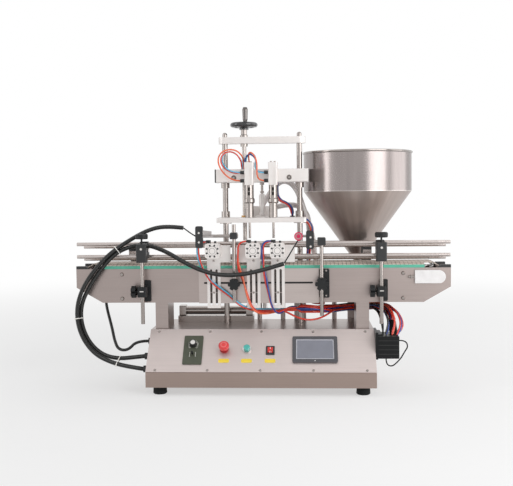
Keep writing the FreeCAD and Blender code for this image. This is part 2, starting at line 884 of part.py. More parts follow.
def guard_rails(front):
    """Two rails joined by clamps that hang on cross rods through the heads."""
    sign = -1 if front else 1
    edge = side_front_y if front else side_rear_y
    post_y = edge + sign * guard_post_offset
    drop = 0 if front else rear_drop
    y = belt_y + sign * (rail_gap / 2 + (0 if front else rear_shift))
    xs = front_guard_xs if front else rear_guard_xs
    low_z = rail_low_z - drop
    rod_z = cross_rod_z - drop
    pieces = []
    for z in (low_z, low_z + rail_pitch):
        pieces.append(rod(-rail_half_length, y, z, rail_radius, 2 * rail_half_length, "x"))
    for x in xs:
        y_in = y - sign * 3
        y_out = y + sign * clamp_depth
        clamp = rounded(box(x - clamp_width / 2, x + clamp_width / 2, min(y_in, y_out), max(y_in, y_out),
                            low_z - rail_radius, low_z + rail_pitch + 8), 4.0, "y")
        for z in (low_z, low_z + rail_pitch):
            clamp = clamp.cut(rod(x - clamp_width, y, z, rail_radius, 2 * clamp_width, "x"))
        y_far = post_y + sign * (head_depth / 2 - 3)
        near, far = min(y_out, y_far), max(y_out, y_far)
        pieces.append(clamp)
        pieces.append(rod(x, near, rod_z, cross_rod_radius, far - near, "y"))
    return pieces


def side_clamps():
    """A black clamp on the side plate round each guard post, and the clamp of the right sensor post."""
    pieces = []
    for front in (True, False):
        sign = -1 if front else 1
        edge = side_front_y if front else side_rear_y
        y = edge + sign * guard_post_offset
        for x in (front_guard_xs if front else rear_guard_xs):
            near = edge + sign * 5
            flange = rounded(box(x - 4, x + 22, min(edge, near), max(edge, near), side_clamp_z - 34,
                                 side_clamp_z + 34), 4.0, "y")
            far = y + sign * 14
            block = rounded(box(x - 14, x + 14, min(near, far), max(near, far), side_clamp_z - 16,
                                side_clamp_z + 16), 4.0, "z")
            body = flange.fuse(block).removeSplitter()
            body = body.cut(rod(x, y, side_clamp_z - 20, guard_post_radius + running_gap, 40))
            body = body.cut(rod(x - 15, y, side_clamp_z, 3 + running_gap, 12, "x"))
            pieces.append(body)
    x = right_sensor_post_x
    block = rounded(box(x - 8, x + 24, sensor_post_y + 8, side_front_y, side_bottom_z + 16, side_top_z - 2),
                    4.0, "y")
    block = block.cut(rod(x, sensor_post_y, side_bottom_z, sensor_post_radius + running_gap, side_height))
    saddle = box(x - 11, x + 11, sensor_post_y - 9, sensor_post_y + 8, star_knob_z - 12, star_knob_z + 12)
    saddle = saddle.cut(rod(x, sensor_post_y, side_bottom_z, sensor_post_radius + running_gap, side_height))
    pieces.append(block)
    pieces.append(saddle)
    x = left_sensor_post_x
    saddle = box(x - 9, x + 9, sensor_post_y - 9, side_front_y - slotted_plate_wall, star_knob_z - 9,
                 star_knob_z + 9)
    saddle = saddle.cut(rod(x, sensor_post_y, side_bottom_z, sensor_post_radius + running_gap, side_height))
    pieces.append(saddle)
    return pieces


def height_knob(index):
    """The knob that clamps a front guard post, its screw reaching towards the post."""
    x = front_guard_xs[index]
    y = side_front_y - guard_post_offset
    knob = star(6, knob_radius, knob_radius - 6, 14.0)
    knob = placed(knob, x - 14 - 6 - 14, y, side_clamp_z, (V(0, 1, 0), 90))
    stem_end = x - guard_post_radius - seat_gap
    stem = rod(x - 22, y, side_clamp_z, 3.0, stem_end - x + 22, "x")
    return [knob.fuse(stem)]


def star_knob(index):
    x = (left_sensor_post_x, right_sensor_post_x)[index]
    y = sensor_post_y - 9 - seat_gap
    knob = star(6, knob_radius - index * -2, knob_radius - 5, 13.0)
    return [placed(knob, x, y, star_knob_z, (V(1, 0, 0), 90))]


def head_knob(index):
    x = front_guard_xs[index]
    y = side_front_y - guard_post_offset
    outline = [
        (0, head_knob_z), (head_knob_radius - 2, head_knob_z), (head_knob_radius, head_knob_z + 3),
        (head_knob_radius, head_knob_z + head_knob_height - 3),
        (head_knob_radius - 3, head_knob_z + head_knob_height), (0, head_knob_z + head_knob_height),
    ]
    stem = rod(x, y, head_top_z - 12 + seat_gap, 3.0, head_knob_z - head_top_z + 13)
    return [turned(outline, x, y).fuse(stem)]


# Sensors


def sensor_stands():
    pieces = []
    y = sensor_post_y
    x0 = left_sensor_post_x
    z0, z1 = left_sensor_post_z
    pieces.append(rod(x0, y, z0, sensor_post_radius, z1 - z0))
    x1 = right_sensor_post_x
    z0, z1 = right_sensor_post_z
    pieces.append(rod(x1, y, z0, sensor_post_radius, z1 - z0))
    rod_y = y - sensor_post_radius - sensor_rod_radius
    pieces.append(rod(left_bracket_x + 6, rod_y, left_sensor_rod_z, sensor_rod_radius,
                      x0 + 14 - left_bracket_x - 6, "x"))
    pieces.append(rod(right_bracket_x + 6, rod_y, right_sensor_rod_z, sensor_rod_radius,
                      x1 + 10 - right_bracket_x - 6, "x"))
    return pieces


def sensors():
    """Black clamps, the two bracket plates and the two sensors."""
    pieces = []
    y = sensor_post_y
    rod_y = y - sensor_post_radius - sensor_rod_radius
    clamps = (
        (left_sensor_post_x, left_sensor_rod_z, 11.0, 10.0),
        (right_sensor_post_x, right_sensor_rod_z, 12.5, 12.0),
    )
    for x, z, half_w, half_h in clamps:
        clamp = rounded(box(x - half_w, x + half_w, rod_y - 9, y + 10, z - half_h, z + half_h), 3.0, "y")
        clamp = clamp.cut(rod(x, y, z - 30, sensor_post_radius, 60))
        clamp = clamp.cut(rod(x - 30, rod_y, z, sensor_rod_radius, 60, "x"))
        pieces.append(clamp)
    plates = (
        (left_bracket_x, left_sensor_rod_z, -37.0, 31.0),
        (right_bracket_x, right_sensor_rod_z, -23.0, 34.0),
    )
    for x, z, low, high in plates:
        plate = rounded(box(x - 12, x + 12, rod_y - 7, rod_y - 2, z + low, z + high), 6.0, "y")
        hub = box(x - 6, x + 6, rod_y - 2, rod_y + 9, z - 9, z + 9)
        pieces.append(plate.fuse(hub).removeSplitter())
    z = left_sensor_rod_z + 9
    grey = Part.makeCone(9.0, 6.0, 26.0, V(left_bracket_x + 12, rod_y - 4, z), V(1, 0, 0))
    pieces.append(grey)
    x = right_bracket_x - 35.0
    z = right_sensor_rod_z + 17
    eye = fused([rod(x, rod_y - 16, z, 13.0, 5, "y"), rod(x, rod_y - 11, z, 9.5, 24, "y"),
                 rod(x + 9, rod_y, z, 4.0, 20, "x")])
    pieces.append(eye)
    return pieces


# Lift tower


def columns():
    pieces = []
    for side in SIDES:
        x = side * column_x
        bar = rod(x, column_y, deck_z, column_radius, top_bar_z - deck_z)
        neck = rod(x, column_y, top_bar_z, column_neck, top_bar_height)
        pieces.append(bar.fuse(neck))
        nut_z = top_bar_z + top_bar_height
        dome = rod(x, column_y, nut_z, dome_radius, 8).fuse(
            Part.makeSphere(dome_radius, V(x, column_y, nut_z + 8), V(0, 0, 1), 0, 90))
        pieces.append(dome)
    return pieces


def top_bar():
    half = top_bar_half_length - top_bar_depth / 2
    z0 = top_bar_z
    bar = box(-half, half, column_y - top_bar_depth / 2, column_y + top_bar_depth / 2, z0, z0 + top_bar_height)
    for side in SIDES:
        bar = bar.fuse(rod(side * half, column_y, z0, top_bar_depth / 2, top_bar_height))
    bar = bar.removeSplitter()
    for side in SIDES:
        bar = bar.cut(rod(side * column_x, column_y, z0, column_neck, top_bar_height))
    return [bar.cut(rod(spindle_x, column_y, z0, spindle_radius + running_gap, top_bar_height))]


def spindle():
    top = wheel_z + 14
    bar = rod(spindle_x, column_y, spindle_bottom_z, spindle_radius, wheel_z - spindle_bottom_z)
    nose = rod(spindle_x, column_y, wheel_z, spindle_radius - 2, top - wheel_z)
    z1 = top_bar_z + top_bar_height + seat_gap
    outline = [
        (0, z1), (collar_radius, z1), (collar_radius, z1 + 6), (collar_radius - 3, z1 + 8),
        (collar_radius - 3, wheel_z), (0, wheel_z),
    ]
    collar = turned(outline, spindle_x, column_y)
    under = rod(spindle_x, column_y, top_bar_z - 9, collar_radius - 1, 9 - seat_gap)
    return [fused([bar, nose, collar, under])]


def handwheel():
    """A dished wheel with a round rim: hub, sloping web and rim turned in one outline."""
    z = wheel_z
    rim_z = z + 16
    outline = [
        (spindle_radius - 2, z), (hub_radius, z), (hub_radius, z + 6),
        (wheel_radius - 2 * rim_radius + 1, rim_z - 3), (wheel_radius - 2 * rim_radius + 1, rim_z + 3),
        (hub_radius - 2, z + 15), (spindle_radius - 2, z + 15),
    ]
    body = turned(outline, spindle_x, column_y)
    body = body.fuse(Part.makeTorus(wheel_radius - rim_radius, rim_radius, V(spindle_x, column_y, rim_z)))
    pin_y = column_y - wheel_radius + rim_radius
    pin = rod(spindle_x + 7, pin_y, rim_z, handle_pin_radius, rim_radius + handle_height - 8)
    return [body.fuse(pin)]


def wheel_handle():
    y = column_y - wheel_radius + rim_radius
    z = wheel_z + 16 + rim_radius + seat_gap
    bore = handle_pin_radius + running_gap
    top = z + handle_height
    outline = [
        (bore, z), (handle_radius - 2.5, z), (handle_radius - 1, z + 6), (handle_radius, top - 8),
        (handle_radius - 2.5, top - 1), (0, top), (0, top - 7), (bore, top - 7),
    ]
    return [turned(outline, spindle_x + 7, y)]


def lift_plate():
    z0 = lift_plate_z
    z1 = z0 + lift_plate_wall
    half = lift_plate_half_length
    y0 = belt_y - lift_plate_front
    y1 = column_y + lift_plate_rear
    plate = rounded(box(-half, half, y0, y1, z0, z1), 8.0, "z")
    for side in SIDES:
        plate = plate.cut(rod(side * column_x, column_y, z0, bush_radius, lift_plate_wall))
        plate = plate.cut(rod(side * head_pitch / 2, belt_y, z0, nozzle_radius + 4, lift_plate_wall))
    plate = plate.cut(rod(spindle_x, column_y, z0, spindle_radius + running_gap, lift_plate_wall))
    pieces = [plate]
    for side in SIDES:
        bush = ring(side * column_x, column_y, z0 - flange_height, bush_radius, column_radius + running_gap,
                    flange_height + lift_plate_wall + bush_height)
        flange = ring(side * column_x, column_y, z0 - flange_height, flange_radius, bush_radius - 1, flange_height)
        pieces.append(bush.fuse(flange).removeSplitter())
        pieces.append(ring(side * head_pitch / 2, belt_y, z0, nozzle_radius + 4, nozzle_radius + running_gap,
                           lift_plate_wall - 0.5))
    pieces.append(ring(spindle_x, column_y, z1, nut_radius, spindle_radius + running_gap, nut_height))
    union_y = y1 + 8 - union_depth
    block = box(-union_half_width, union_half_width, union_y, y1 + 8, z1, z1 + union_height)
    for side in SIDES:
        x = side * head_pitch / 2
        block = block.fuse(rod(x, union_y - port_length, hose_z, port_radius, port_length, "y"))
        block = block.fuse(rod(side * 13.0, y1 + 8, hose_z, hose_port_radius, port_length, "y"))
    pieces.append(block.removeSplitter())
    clip_x = tube_clip_x - tube_clip_size / 2
    pieces.append(box(clip_x, clip_x + tube_clip_size, y1, y1 + tube_clip_size, z0 + 2, z0 + 2 + tube_clip_size))
    return pieces


def dive_cylinder():
    z0 = lift_plate_z + lift_plate_wall
    outline = [
        (0, z0), (26, z0), (26, z0 + 3), (dive_radius + 2, z0 + 7), (dive_radius, z0 + 8),
        (dive_radius, dive_body_top_z - 4), (dive_radius - 2, dive_body_top_z - 4),
        (dive_radius - 2, dive_body_top_z), (0, dive_body_top_z),
    ]
    body = turned(outline, 0, dive_y)
    bore = rod(0, dive_y, z0 + 20, dive_rod_radius + running_gap, dive_body_top_z)
    return [body.cut(bore)]


def dive_rod():
    z0 = lift_plate_z + lift_plate_wall + 30
    bar = rod(0, dive_y, z0, dive_rod_radius, beam_z - z0)
    nut = rod(0, dive_y, beam_z - 8, 7, 8)
    lock = rod(0, dive_y, dive_body_top_z + 3, 6.5, 6)
    return [fused([bar, nut, lock])]


def beam():
    half = beam_half_length
    y0 = belt_y + cylinder_size / 2
    y1 = column_y + beam_rear
    z0 = beam_z
    z1 = beam_z + beam_height
    tube = rounded(box(-half, half, y0, y1, z0, z1), 3.0, "x")
    tube = tube.cut(box(-half, half, y0 + beam_wall, y1 - beam_wall, z0 + beam_wall, z1 - beam_wall))
    for side in SIDES:
        tube = tube.cut(rod(side * column_x, column_y, z0 - 1, bush_radius, beam_height + 2))
    tube = tube.cut(rod(spindle_x, column_y, z0 - 1, spindle_radius + 2, beam_height + 2))
    return [tube]


def beam_bushes():
    pieces = []
    for side in SIDES:
        pieces.append(ring(side * column_x, column_y, beam_z - beam_bush_drop, bush_radius,
                           column_radius + running_gap, beam_bush_drop + beam_height))
    y0 = belt_y + cylinder_size / 2
    y1 = column_y + beam_rear
    for side in SIDES:
        x = side * beam_half_length
        pieces.append(box(min(x, x + side * end_cap), max(x, x + side * end_cap), y0, y1, beam_z,
                          beam_z + beam_height))
    pieces.append(rod(grommet_x, y1, grommet_z, grommet_radius, grommet_depth, "y"))
    for side in SIDES:
        pieces.append(placed(screw_head(8.5, 4.0), side * 89.0, y0, beam_z + 15, (V(1, 0, 0), 90)))
    return pieces


def head_cylinders():
    half = cylinder_size / 2
    pieces = []
    for side in SIDES:
        x = side * head_pitch / 2
        y = belt_y
        body = rounded(box(x - half + 1, x + half - 1, y - half + 1, y + half, cylinder_bottom_z, cylinder_top_z),
                       3.0, "z")
        groove = box(x + 1, x + 5, y - half, y - half + 3.5, cylinder_bottom_z, cylinder_top_z)
        body = body.cut(groove)
        body = body.cut(rod(x, y, cylinder_bottom_z, stem_radius + running_gap, 40))
        body = body.cut(rod(x, y, cylinder_bottom_z + 8, 11, 32))
        cap = rounded(box(x - half, x + half, y - half, y + half, cylinder_top_z,
                          cylinder_top_z + cylinder_cap_height), 4.0, "z")
        pieces.append(body)
        pieces.append(cap)
        for dx in (-6.0, 6.0):
            pieces.append(rod(x + dx, y - 6, cylinder_top_z + cylinder_cap_height, 3.6, 3.5))
        for z in (cylinder_top_z - 14, cylinder_bottom_z + 14):
            pieces.append(rod(x - half - 13, y - 6, z, 5.5, 14, "x"))
    return pieces


def filling_valves():
    """Window clevis, union nut, valve body and nozzle of each head."""
    pieces = []
    for side in SIDES:
        x = side * head_pitch / 2
        y = belt_y
        z1 = cylinder_bottom_z
        clevis = rod(x, y, clevis_bottom_z, clevis_radius, z1 - clevis_bottom_z)
        clevis = clevis.cut(rod(x, y, clevis_bottom_z, stem_radius + 2.5, z1 - clevis_bottom_z))
        for low, high in ((0.2, 0.48), (0.54, 0.82)):
            z_low = clevis_bottom_z + low * (z1 - clevis_bottom_z)
            z_high = clevis_bottom_z + high * (z1 - clevis_bottom_z)
            clevis = clevis.cut(box(x - window_width / 2, x + window_width / 2, y - 20, y + 20, z_low, z_high))
        z0 = clevis_bottom_z - union_nut_height
        bore = stem_radius + running_gap
        nut = turned([(bore, z0), (union_nut_radius - 2, z0), (union_nut_radius, z0 + 4),
                      (union_nut_radius, clevis_bottom_z - 4), (union_nut_radius - 2, clevis_bottom_z),
                      (bore, clevis_bottom_z)], x, y)
        low_z = lift_plate_z + lift_plate_wall + valve_clearance
        body = rod(x, y, low_z, valve_radius, z0 - low_z)
        body = body.cut(rod(x, y, low_z + 12, 9.0, z0 - low_z - 12))
        body = body.cut(rod(x, y, low_z, nozzle_bore, 20))
        port = ring(x, y + valve_radius - 1.5, hose_z, port_radius, port_radius - 2, 11.5, "y")
        pieces.append(clevis)
        pieces.append(nut)
        pieces.append(body.fuse(port))
        pieces.append(ring(x, y, nozzle_bottom_z, nozzle_radius, nozzle_bore, low_z - nozzle_bottom_z))
    return pieces


def valve_stem(side):
    x = side * head_pitch / 2
    z0 = lift_plate_z + lift_plate_wall + valve_clearance + 12 + seat_gap
    bar = rod(x, belt_y, z0 + 6, stem_radius, cylinder_bottom_z + stem_in_cylinder - z0 - 6)
    plug = Part.makeCone(3.2, 6.5, 6, V(x, belt_y, z0))
    piston = rod(x, belt_y, cylinder_bottom_z + 8 + seat_gap, 10.8, 10)
    return [fused([bar, plug, piston])]


# Pump and hopper


def hopper():
    """A rolled rim on a straight wall, welded to a cone that ends in the outlet tube and its ferrule."""
    r = hopper_radius
    t = hopper_wall
    z0 = hopper_seam_z
    z1 = z0 + hopper_cylinder_height
    slope = math.tan(math.radians(cone_half_angle))
    z_out = z0 - (r - outlet_radius) / slope
    wall_top = z1 - rim_bead / 2
    wall = turned([(r, wall_top), (r, z0), (r - t, z0), (r - t, wall_top)], hopper_x, hopper_y)
    bead = Part.makeTorus(r, rim_bead, V(hopper_x, hopper_y, z1))
    cone = turned([
        (r, z0), (outlet_radius, z_out), (outlet_radius, block_top_z + ferrule_height),
        (ferrule_radius, block_top_z + ferrule_height), (ferrule_radius, block_top_z),
        (outlet_radius - t, block_top_z), (outlet_radius - t, z_out + 0.6), (r - t, z0),
    ], hopper_x, hopper_y)
    return [wall.fuse(bead).removeSplitter(), cone]


def metering_pump():
    """Stand, platform, valve block, two metering cylinders and the air cylinder that drives them."""
    pieces = []
    z0 = platform_z
    shelf = box(stand_xs[1] - stand_radius, block_x[1], block_y[0], block_y[1], z0, z0 + platform_wall)
    pieces.append(shelf)
    guide = rod(stand_xs[0], stand_y, platform_z - 12, 6, stand_xs[1] - stand_xs[0], "x")
    for x in stand_xs:
        post = rod(x, stand_y, deck_z, stand_radius, platform_z - deck_z)
        guide = guide.cut(post)
        pieces.append(post)
    pieces.append(guide)
    for x in pump_bracket_xs:
        half = pump_bracket_width / 2
        pieces.append(box(x - half, x + half, base_rear_y, base_rear_y + pump_bracket_wall, 90, platform_z))
    centre_y = (block_y[0] + block_y[1]) / 2
    block = box(block_x[0], block_x[1], block_y[0], block_y[1], z0 + platform_wall, block_top_z)
    for offset in (-0.5, 0.5):
        y = centre_y + offset * meter_pitch
        block = block.fuse(rod(block_x[0] - port_length, y, hose_port_z, hose_port_radius, port_length, "x"))
    pieces.append(block)
    for offset in (-0.5, 0.5):
        y = centre_y + offset * meter_pitch
        length = block_x[0] - meter_left_x
        barrel = ring(meter_left_x, y, meter_z, meter_radius, meter_bore, length, "x")
        cap = ring(meter_left_x - 8, y, meter_z, meter_radius + 1, 6 + running_gap, 8, "x")
        pieces.append(barrel)
        pieces.append(cap)
    saddle = box(meter_left_x + 12, meter_left_x + 24, block_y[0] + 6, block_y[1] - 6, z0 + platform_wall,
                 meter_z - 4)
    for offset in (-0.5, 0.5):
        saddle = saddle.cut(rod(meter_left_x, centre_y + offset * meter_pitch, meter_z, meter_radius, 50, "x"))
    pieces.append(saddle)
    bar_y0 = drive_y - drive_cap_size / 2
    bar_y1 = drive_y + drive_cap_size / 2
    bar = box(drive_left_x - 4, drive_right_x + 4, bar_y0, bar_y1, deck_z, deck_z + pump_bar_height)
    pieces.append(bar)
    z = deck_z + pump_bar_height + drive_cap_size / 2
    tube = rod(drive_left_x + 22, drive_y, z, drive_radius, drive_right_x - drive_left_x - 44, "x")
    pieces.append(tube.cut(rod(drive_left_x + 60, drive_y, z, 6 + running_gap, drive_right_x - drive_left_x, "x")))
    for x in (drive_left_x, drive_right_x - 22):
        cap = rounded(box(x, x + 22, bar_y0, bar_y1, z - drive_cap_size / 2, z + drive_cap_size / 2), 4.0, "x")
        if x > drive_left_x:
            cap = cap.cut(rod(x - 1, drive_y, z, 6 + running_gap, 30, "x"))
        pieces.append(cap)
    return pieces


def pump_yoke():
    """The driven yoke with the air cylinder's rod and the two metering pistons."""
    centre_y = (block_y[0] + block_y[1]) / 2
    z = deck_z + pump_bar_height + drive_cap_size / 2
    x0 = yoke_x
    plate = box(x0, x0 + yoke_wall, drive_y - 12, centre_y + meter_pitch / 2 + 12, z - 12, meter_z + 12)
    plate = plate.cut(rod(x0 - 1, stand_y, platform_z - 12, 6 + running_gap, yoke_wall + 2, "x"))
    parts = [plate, rod(drive_left_x + 100, drive_y, z, 6, x0 - drive_left_x - 100, "x")]
    for offset in (-0.5, 0.5):
        y = centre_y + offset * meter_pitch
        parts.append(rod(x0 + yoke_wall, y, meter_z, 6, meter_left_x + 20 - x0 - yoke_wall, "x"))
        parts.append(rod(meter_left_x + 12, y, meter_z, meter_bore - 0.2, 16, "x"))
    return [fused(parts)]


def valve_block():
    """Mounting frame, solenoid valve stack and the push-in fittings on top."""
    x0 = base_length / 2
    y0, y1 = valve_block_y
    z0, z1 = valve_block_z
    frame = box(x0, valve_block_x, y0 - 4, y1 + 4, z0 - 2, z1 + 12)
    pieces = [frame]
    count = 5
    pitch = (y1 - y0) / count
    for i in range(count):
        low = y0 + i * pitch
        body = box(valve_block_x, valve_block_x + valve_block_width, low, low + pitch - 1.0, z0, z1)
        pieces.append(rounded(body, 2.5, "y"))
    pieces.append(box(valve_block_x, valve_block_x + 12, y0, y1, z1, z1 + 6))
    end = V(*main_points[-1])
    heading = (end - V(*main_points[-2])).normalize()
    collector = Part.makeCylinder(main_bundle_diameter / 2 + 2, (end.z - z1) * 2, end, heading)
    below = box(x0 - 50, x0 + 200, y0 - 100, y1 + 100, z0 - 100, z1)
    pieces.append(collector.cut(below))
    x, y, z = valve_cable_points[0]
    pieces.append(rod(x, y, z, 4, z0 - z))
    x, y, z = valve_cable_points[-1]
    edge = valve_block_x + valve_block_width
    pieces.append(rod(edge, y, z, 4, x - edge, "x"))
    return pieces


# Cord routes, chosen by hand. The first and last points lie on the faces the cords run to.

gland_reach = -base_length / 2 - 14
conduit_a_points = [
    (gland_reach - 1, -215, 74), (-410, -214, 80), (-466, -211, 93), (-517, -207, 117), (-554, -202, 160),
    (-574, -197, 212), (-576, -192, 268), (-559, -186, 322), (-522, -180, 379), (-474, -170, 430),
    (-415, -158, 470), (-352, -146, 504), (-296, -148, 514), (-243, -156, 508),
]
conduit_b_points = [
    (gland_reach - 1, -190, 109), (-399, -191, 105.5), (-447, -192, 101), (-497, -191, 112), (-540, -189, 150),
    (-566, -185, 210), (-566, -181, 269), (-544, -177, 319), (-508, -172, 374), (-466, -164, 424),
    (-418, -158.5, 450), (-358, -158.5, 457), (-296, -166, 435), (-238, -184, 402), (-171, -200, 372),
    (-99, -207, 361), (-13, -209, 371), (73, -206, 398),
]
conduit_c_points = [
    (-540, 30, 295), (-540, 30, 255), (-527.5, 0, 226), (-512.5, -27, 196.5), (-498, -55.5, 168.5),
    (-485.5, -84, 141), (-467.5, -109, 113.5), (-431, -126, 115), (-404, -125, 145),
    (gland_reach, -125, 145),
]
sensor_cable_points = [
    [(-241.5, -156.5, 507.5), (-230, -163, 500), (-216, -174, 491), (left_bracket_x - 12, -186, 483)],
    [(74, -206, 399.5), (86, -202, 418), (99, -196, 440), (109, -188, 456), (116, -178, 467)],
]
valve_cable_points = [
    (386, -170, 100),
    (386, -170, 80.5), (404, -166.5, 72), (420, -163.5, 84.5), (434, -161, 99.5), (444, -158.5, 117),
    (455.5, -156.5, 133.5), (447.5, -154, 152),
    (428, -154, 152),
]
stopper_exit = 20.0 + seat_gap
stopper_exit_z = stopper_z + stopper_size / 2 + 6
stopper_exit_y = side_front_y - slotted_plate_wall - bracket_wall - stopper_depth + 16
gather = (110.0, -110.0, 246.0)
stopper_tube_points = [
    [
        (stopper_xs[0] - stopper_exit, stopper_exit_y, stopper_exit_z),
        (-179.5, -181, 466), (-189, -181, 460.5), (-194.5, -181, 451), (-194.5, -181, 429),
        (-190.5, -180, 406.5), (-182.5, -178.5, 385.5), (-172, -176.5, 365.5), (-159, -174, 347),
        (-143, -171.5, 331), (-126, -168.5, 316.5), (-108.5, -165, 303), (-91, -162.5, 288.5),
        (-75, -161.5, 272.5), (-57, -156.5, 259.5), (-38.5, -146, 251.5), (-19.5, -135, 247),
        (0.5, -124.5, 244.5), (21, -115.5, 243.5), (42.5, -108.5, 243), (65.5, -105.5, 243),
        (88, -105.5, 243.5),
        (gather[0], gather[1] + 4.5, gather[2] - 2.5),
    ],
    [
        (stopper_xs[1] - stopper_exit, stopper_exit_y, stopper_exit_z),
        (-54.5, -181, 466), (-64, -181, 460.5), (-69.5, -181, 451), (-69.5, -181, 430.5),
        (-70, -180, 409.5), (-68, -178.5, 388.5), (-63.5, -177.5, 368), (-57, -176, 348),
        (-51, -174.5, 327.5), (-45.5, -173, 307.5), (-39.5, -171, 287.5), (-32.5, -168.5, 267.5),
        (-22, -163, 250), (-6.5, -153.5, 240), (11, -142, 237), (29, -131.5, 238), (48.5, -123, 241),
        (68.5, -117.5, 243), (89.5, -114.5, 243.5),
        (gather[0], gather[1] - 4.5, gather[2] - 2.5),
    ],
    [
        (stopper_xs[2] - stopper_exit, stopper_exit_y, stopper_exit_z),
        (21.5, -181, 466), (12, -181, 460.5), (6.5, -181, 451), (6.5, -181, 431), (7, -180, 411),
        (8, -179, 390.5), (10.5, -177.5, 370.5), (15, -176, 350.5), (18.5, -175, 330.5),
        (22, -173.5, 310.5), (26, -172, 290.5), (30, -169.5, 270.5), (37, -164, 252), (48, -152, 240),
        (61, -136, 238.5), (74.5, -122, 244), (90, -110, 251),
        (gather[0], gather[1], gather[2] + 5.0),
    ],
]
main_points = [
    (gather[0] + seat_gap, gather[1], gather[2]),
    (154.5, -110, 246), (194, -86, 241.5), (224, -51, 238.5), (262, -24, 238.5), (307, -12, 241),
    (351, -23, 246), (384, -56, 250), (405, -94.5, 235.5), (408, -128, 205),
]
drop_points = [
    (tube_clip_x + tube_clip_size / 2 + seat_gap, clip_y, lift_plate_z + 2 + tube_clip_size / 2),
    (132, 10, 531), (154.5, 10.2, 514.5), (162.5, 10.5, 487.5), (153.5, 10.8, 461), (150.5, 11.5, 433),
    (149, 10.5, 405), (148.5, 8, 375), (146.5, 4.5, 345), (146, -1.5, 315.5), (147.5, -8, 285),
    (152, -29, 261), (171.5, -54.5, 257), (200, -60, 257),
]
link_hose_points = [
    (belt_y + valve_radius + 10 + seat_gap, hose_z),
    (column_y + lift_plate_rear + 8 - union_depth - port_length - seat_gap, hose_z),
]
bundle_points = [
    (grommet_x, column_y + beam_rear + grommet_depth + seat_gap, grommet_z),
    (45, 20, 668), (44.9, 35.7, 660), (44.8, 45.5, 646), (44.7, 48, 628.5), (44.5, 42, 612),
    (49.4, 31, 598.7), (61.3, 23.5, 587.6), (76, 15.8, 582), (89.3, 11.1, 571.5), (97, 10, 555.8),
    (tube_clip_x, clip_y, lift_plate_z + 2 + tube_clip_size),
]
left_loop_points = [
    (-head_pitch / 2 - cylinder_size / 2 - 13, belt_y - 6, cylinder_top_z - 14),
    (-84, -99, 680), (-101.5, -96.5, 686), (-117, -94, 696.5), (-126, -92, 712.5), (-126, -89, 731),
    (-114.5, -85.5, 745), (-96.5, -82, 748.5), (-80, -78, 741), (-69, -73.5, 726.5), (-62, -68, 709.5),
    (-62, -68, beam_z + beam_height),
]
right_loop_points = [
    (head_pitch / 2 - cylinder_size / 2 - 13, belt_y - 6, cylinder_top_z - 14),
    (-5, -99, 680), (-17.5, -97.5, 690), (-20, -94.5, 705.5), (-15.5, -93, 720.5), (-21.5, -88.5, 734),
    (-33.5, -80.5, 740), (-46, -72, 735), (-52, -66.5, 722), (-50, -64, 706.5),
    (-50, -64, beam_z + beam_height),
]
hose_ports_y = [(block_y[0] + block_y[1]) / 2 + offset * meter_pitch for offset in (-0.5, 0.5)]
union_rear_y = column_y + lift_plate_rear + 8 + port_length + seat_gap
product_hose_points = [
    [
        (-13, union_rear_y, hose_z),
        (-13, 55.5, 560), (-3, 87.5, 578.5), (15, 102.5, 609.5), (37.5, 95.5, 640), (63, 71.5, 656),
        (89.5, 44, 650.5), (112.5, 26, 625), (125.5, 25.5, 589), (137, 31, 552.5), (149.5, 32, 516),
        (160, 33, 479), (168, 35.5, 441), (168.5, 40.5, 402.5), (184, 47.5, 368), (216.5, 52, 348),
        (block_x[0] - port_length, hose_ports_y[0], hose_port_z),
    ],
    [
        (13, union_rear_y, hose_z),
        (13, 48.5, 560), (26.5, 76, 564), (51.5, 94, 570), (82, 98, 575), (112, 89.5, 572.5),
        (135.5, 75.5, 557.5), (149, 63.5, 532), (151, 59, 501.5), (154.5, 66.5, 471),
        (161.5, 67, 440.5), (169, 72, 411), (177.5, 80.5, 382), (196, 92.5, 359.5), (224, 100, 348),
        (block_x[0] - port_length, hose_ports_y[1], hose_port_z),
    ],
]


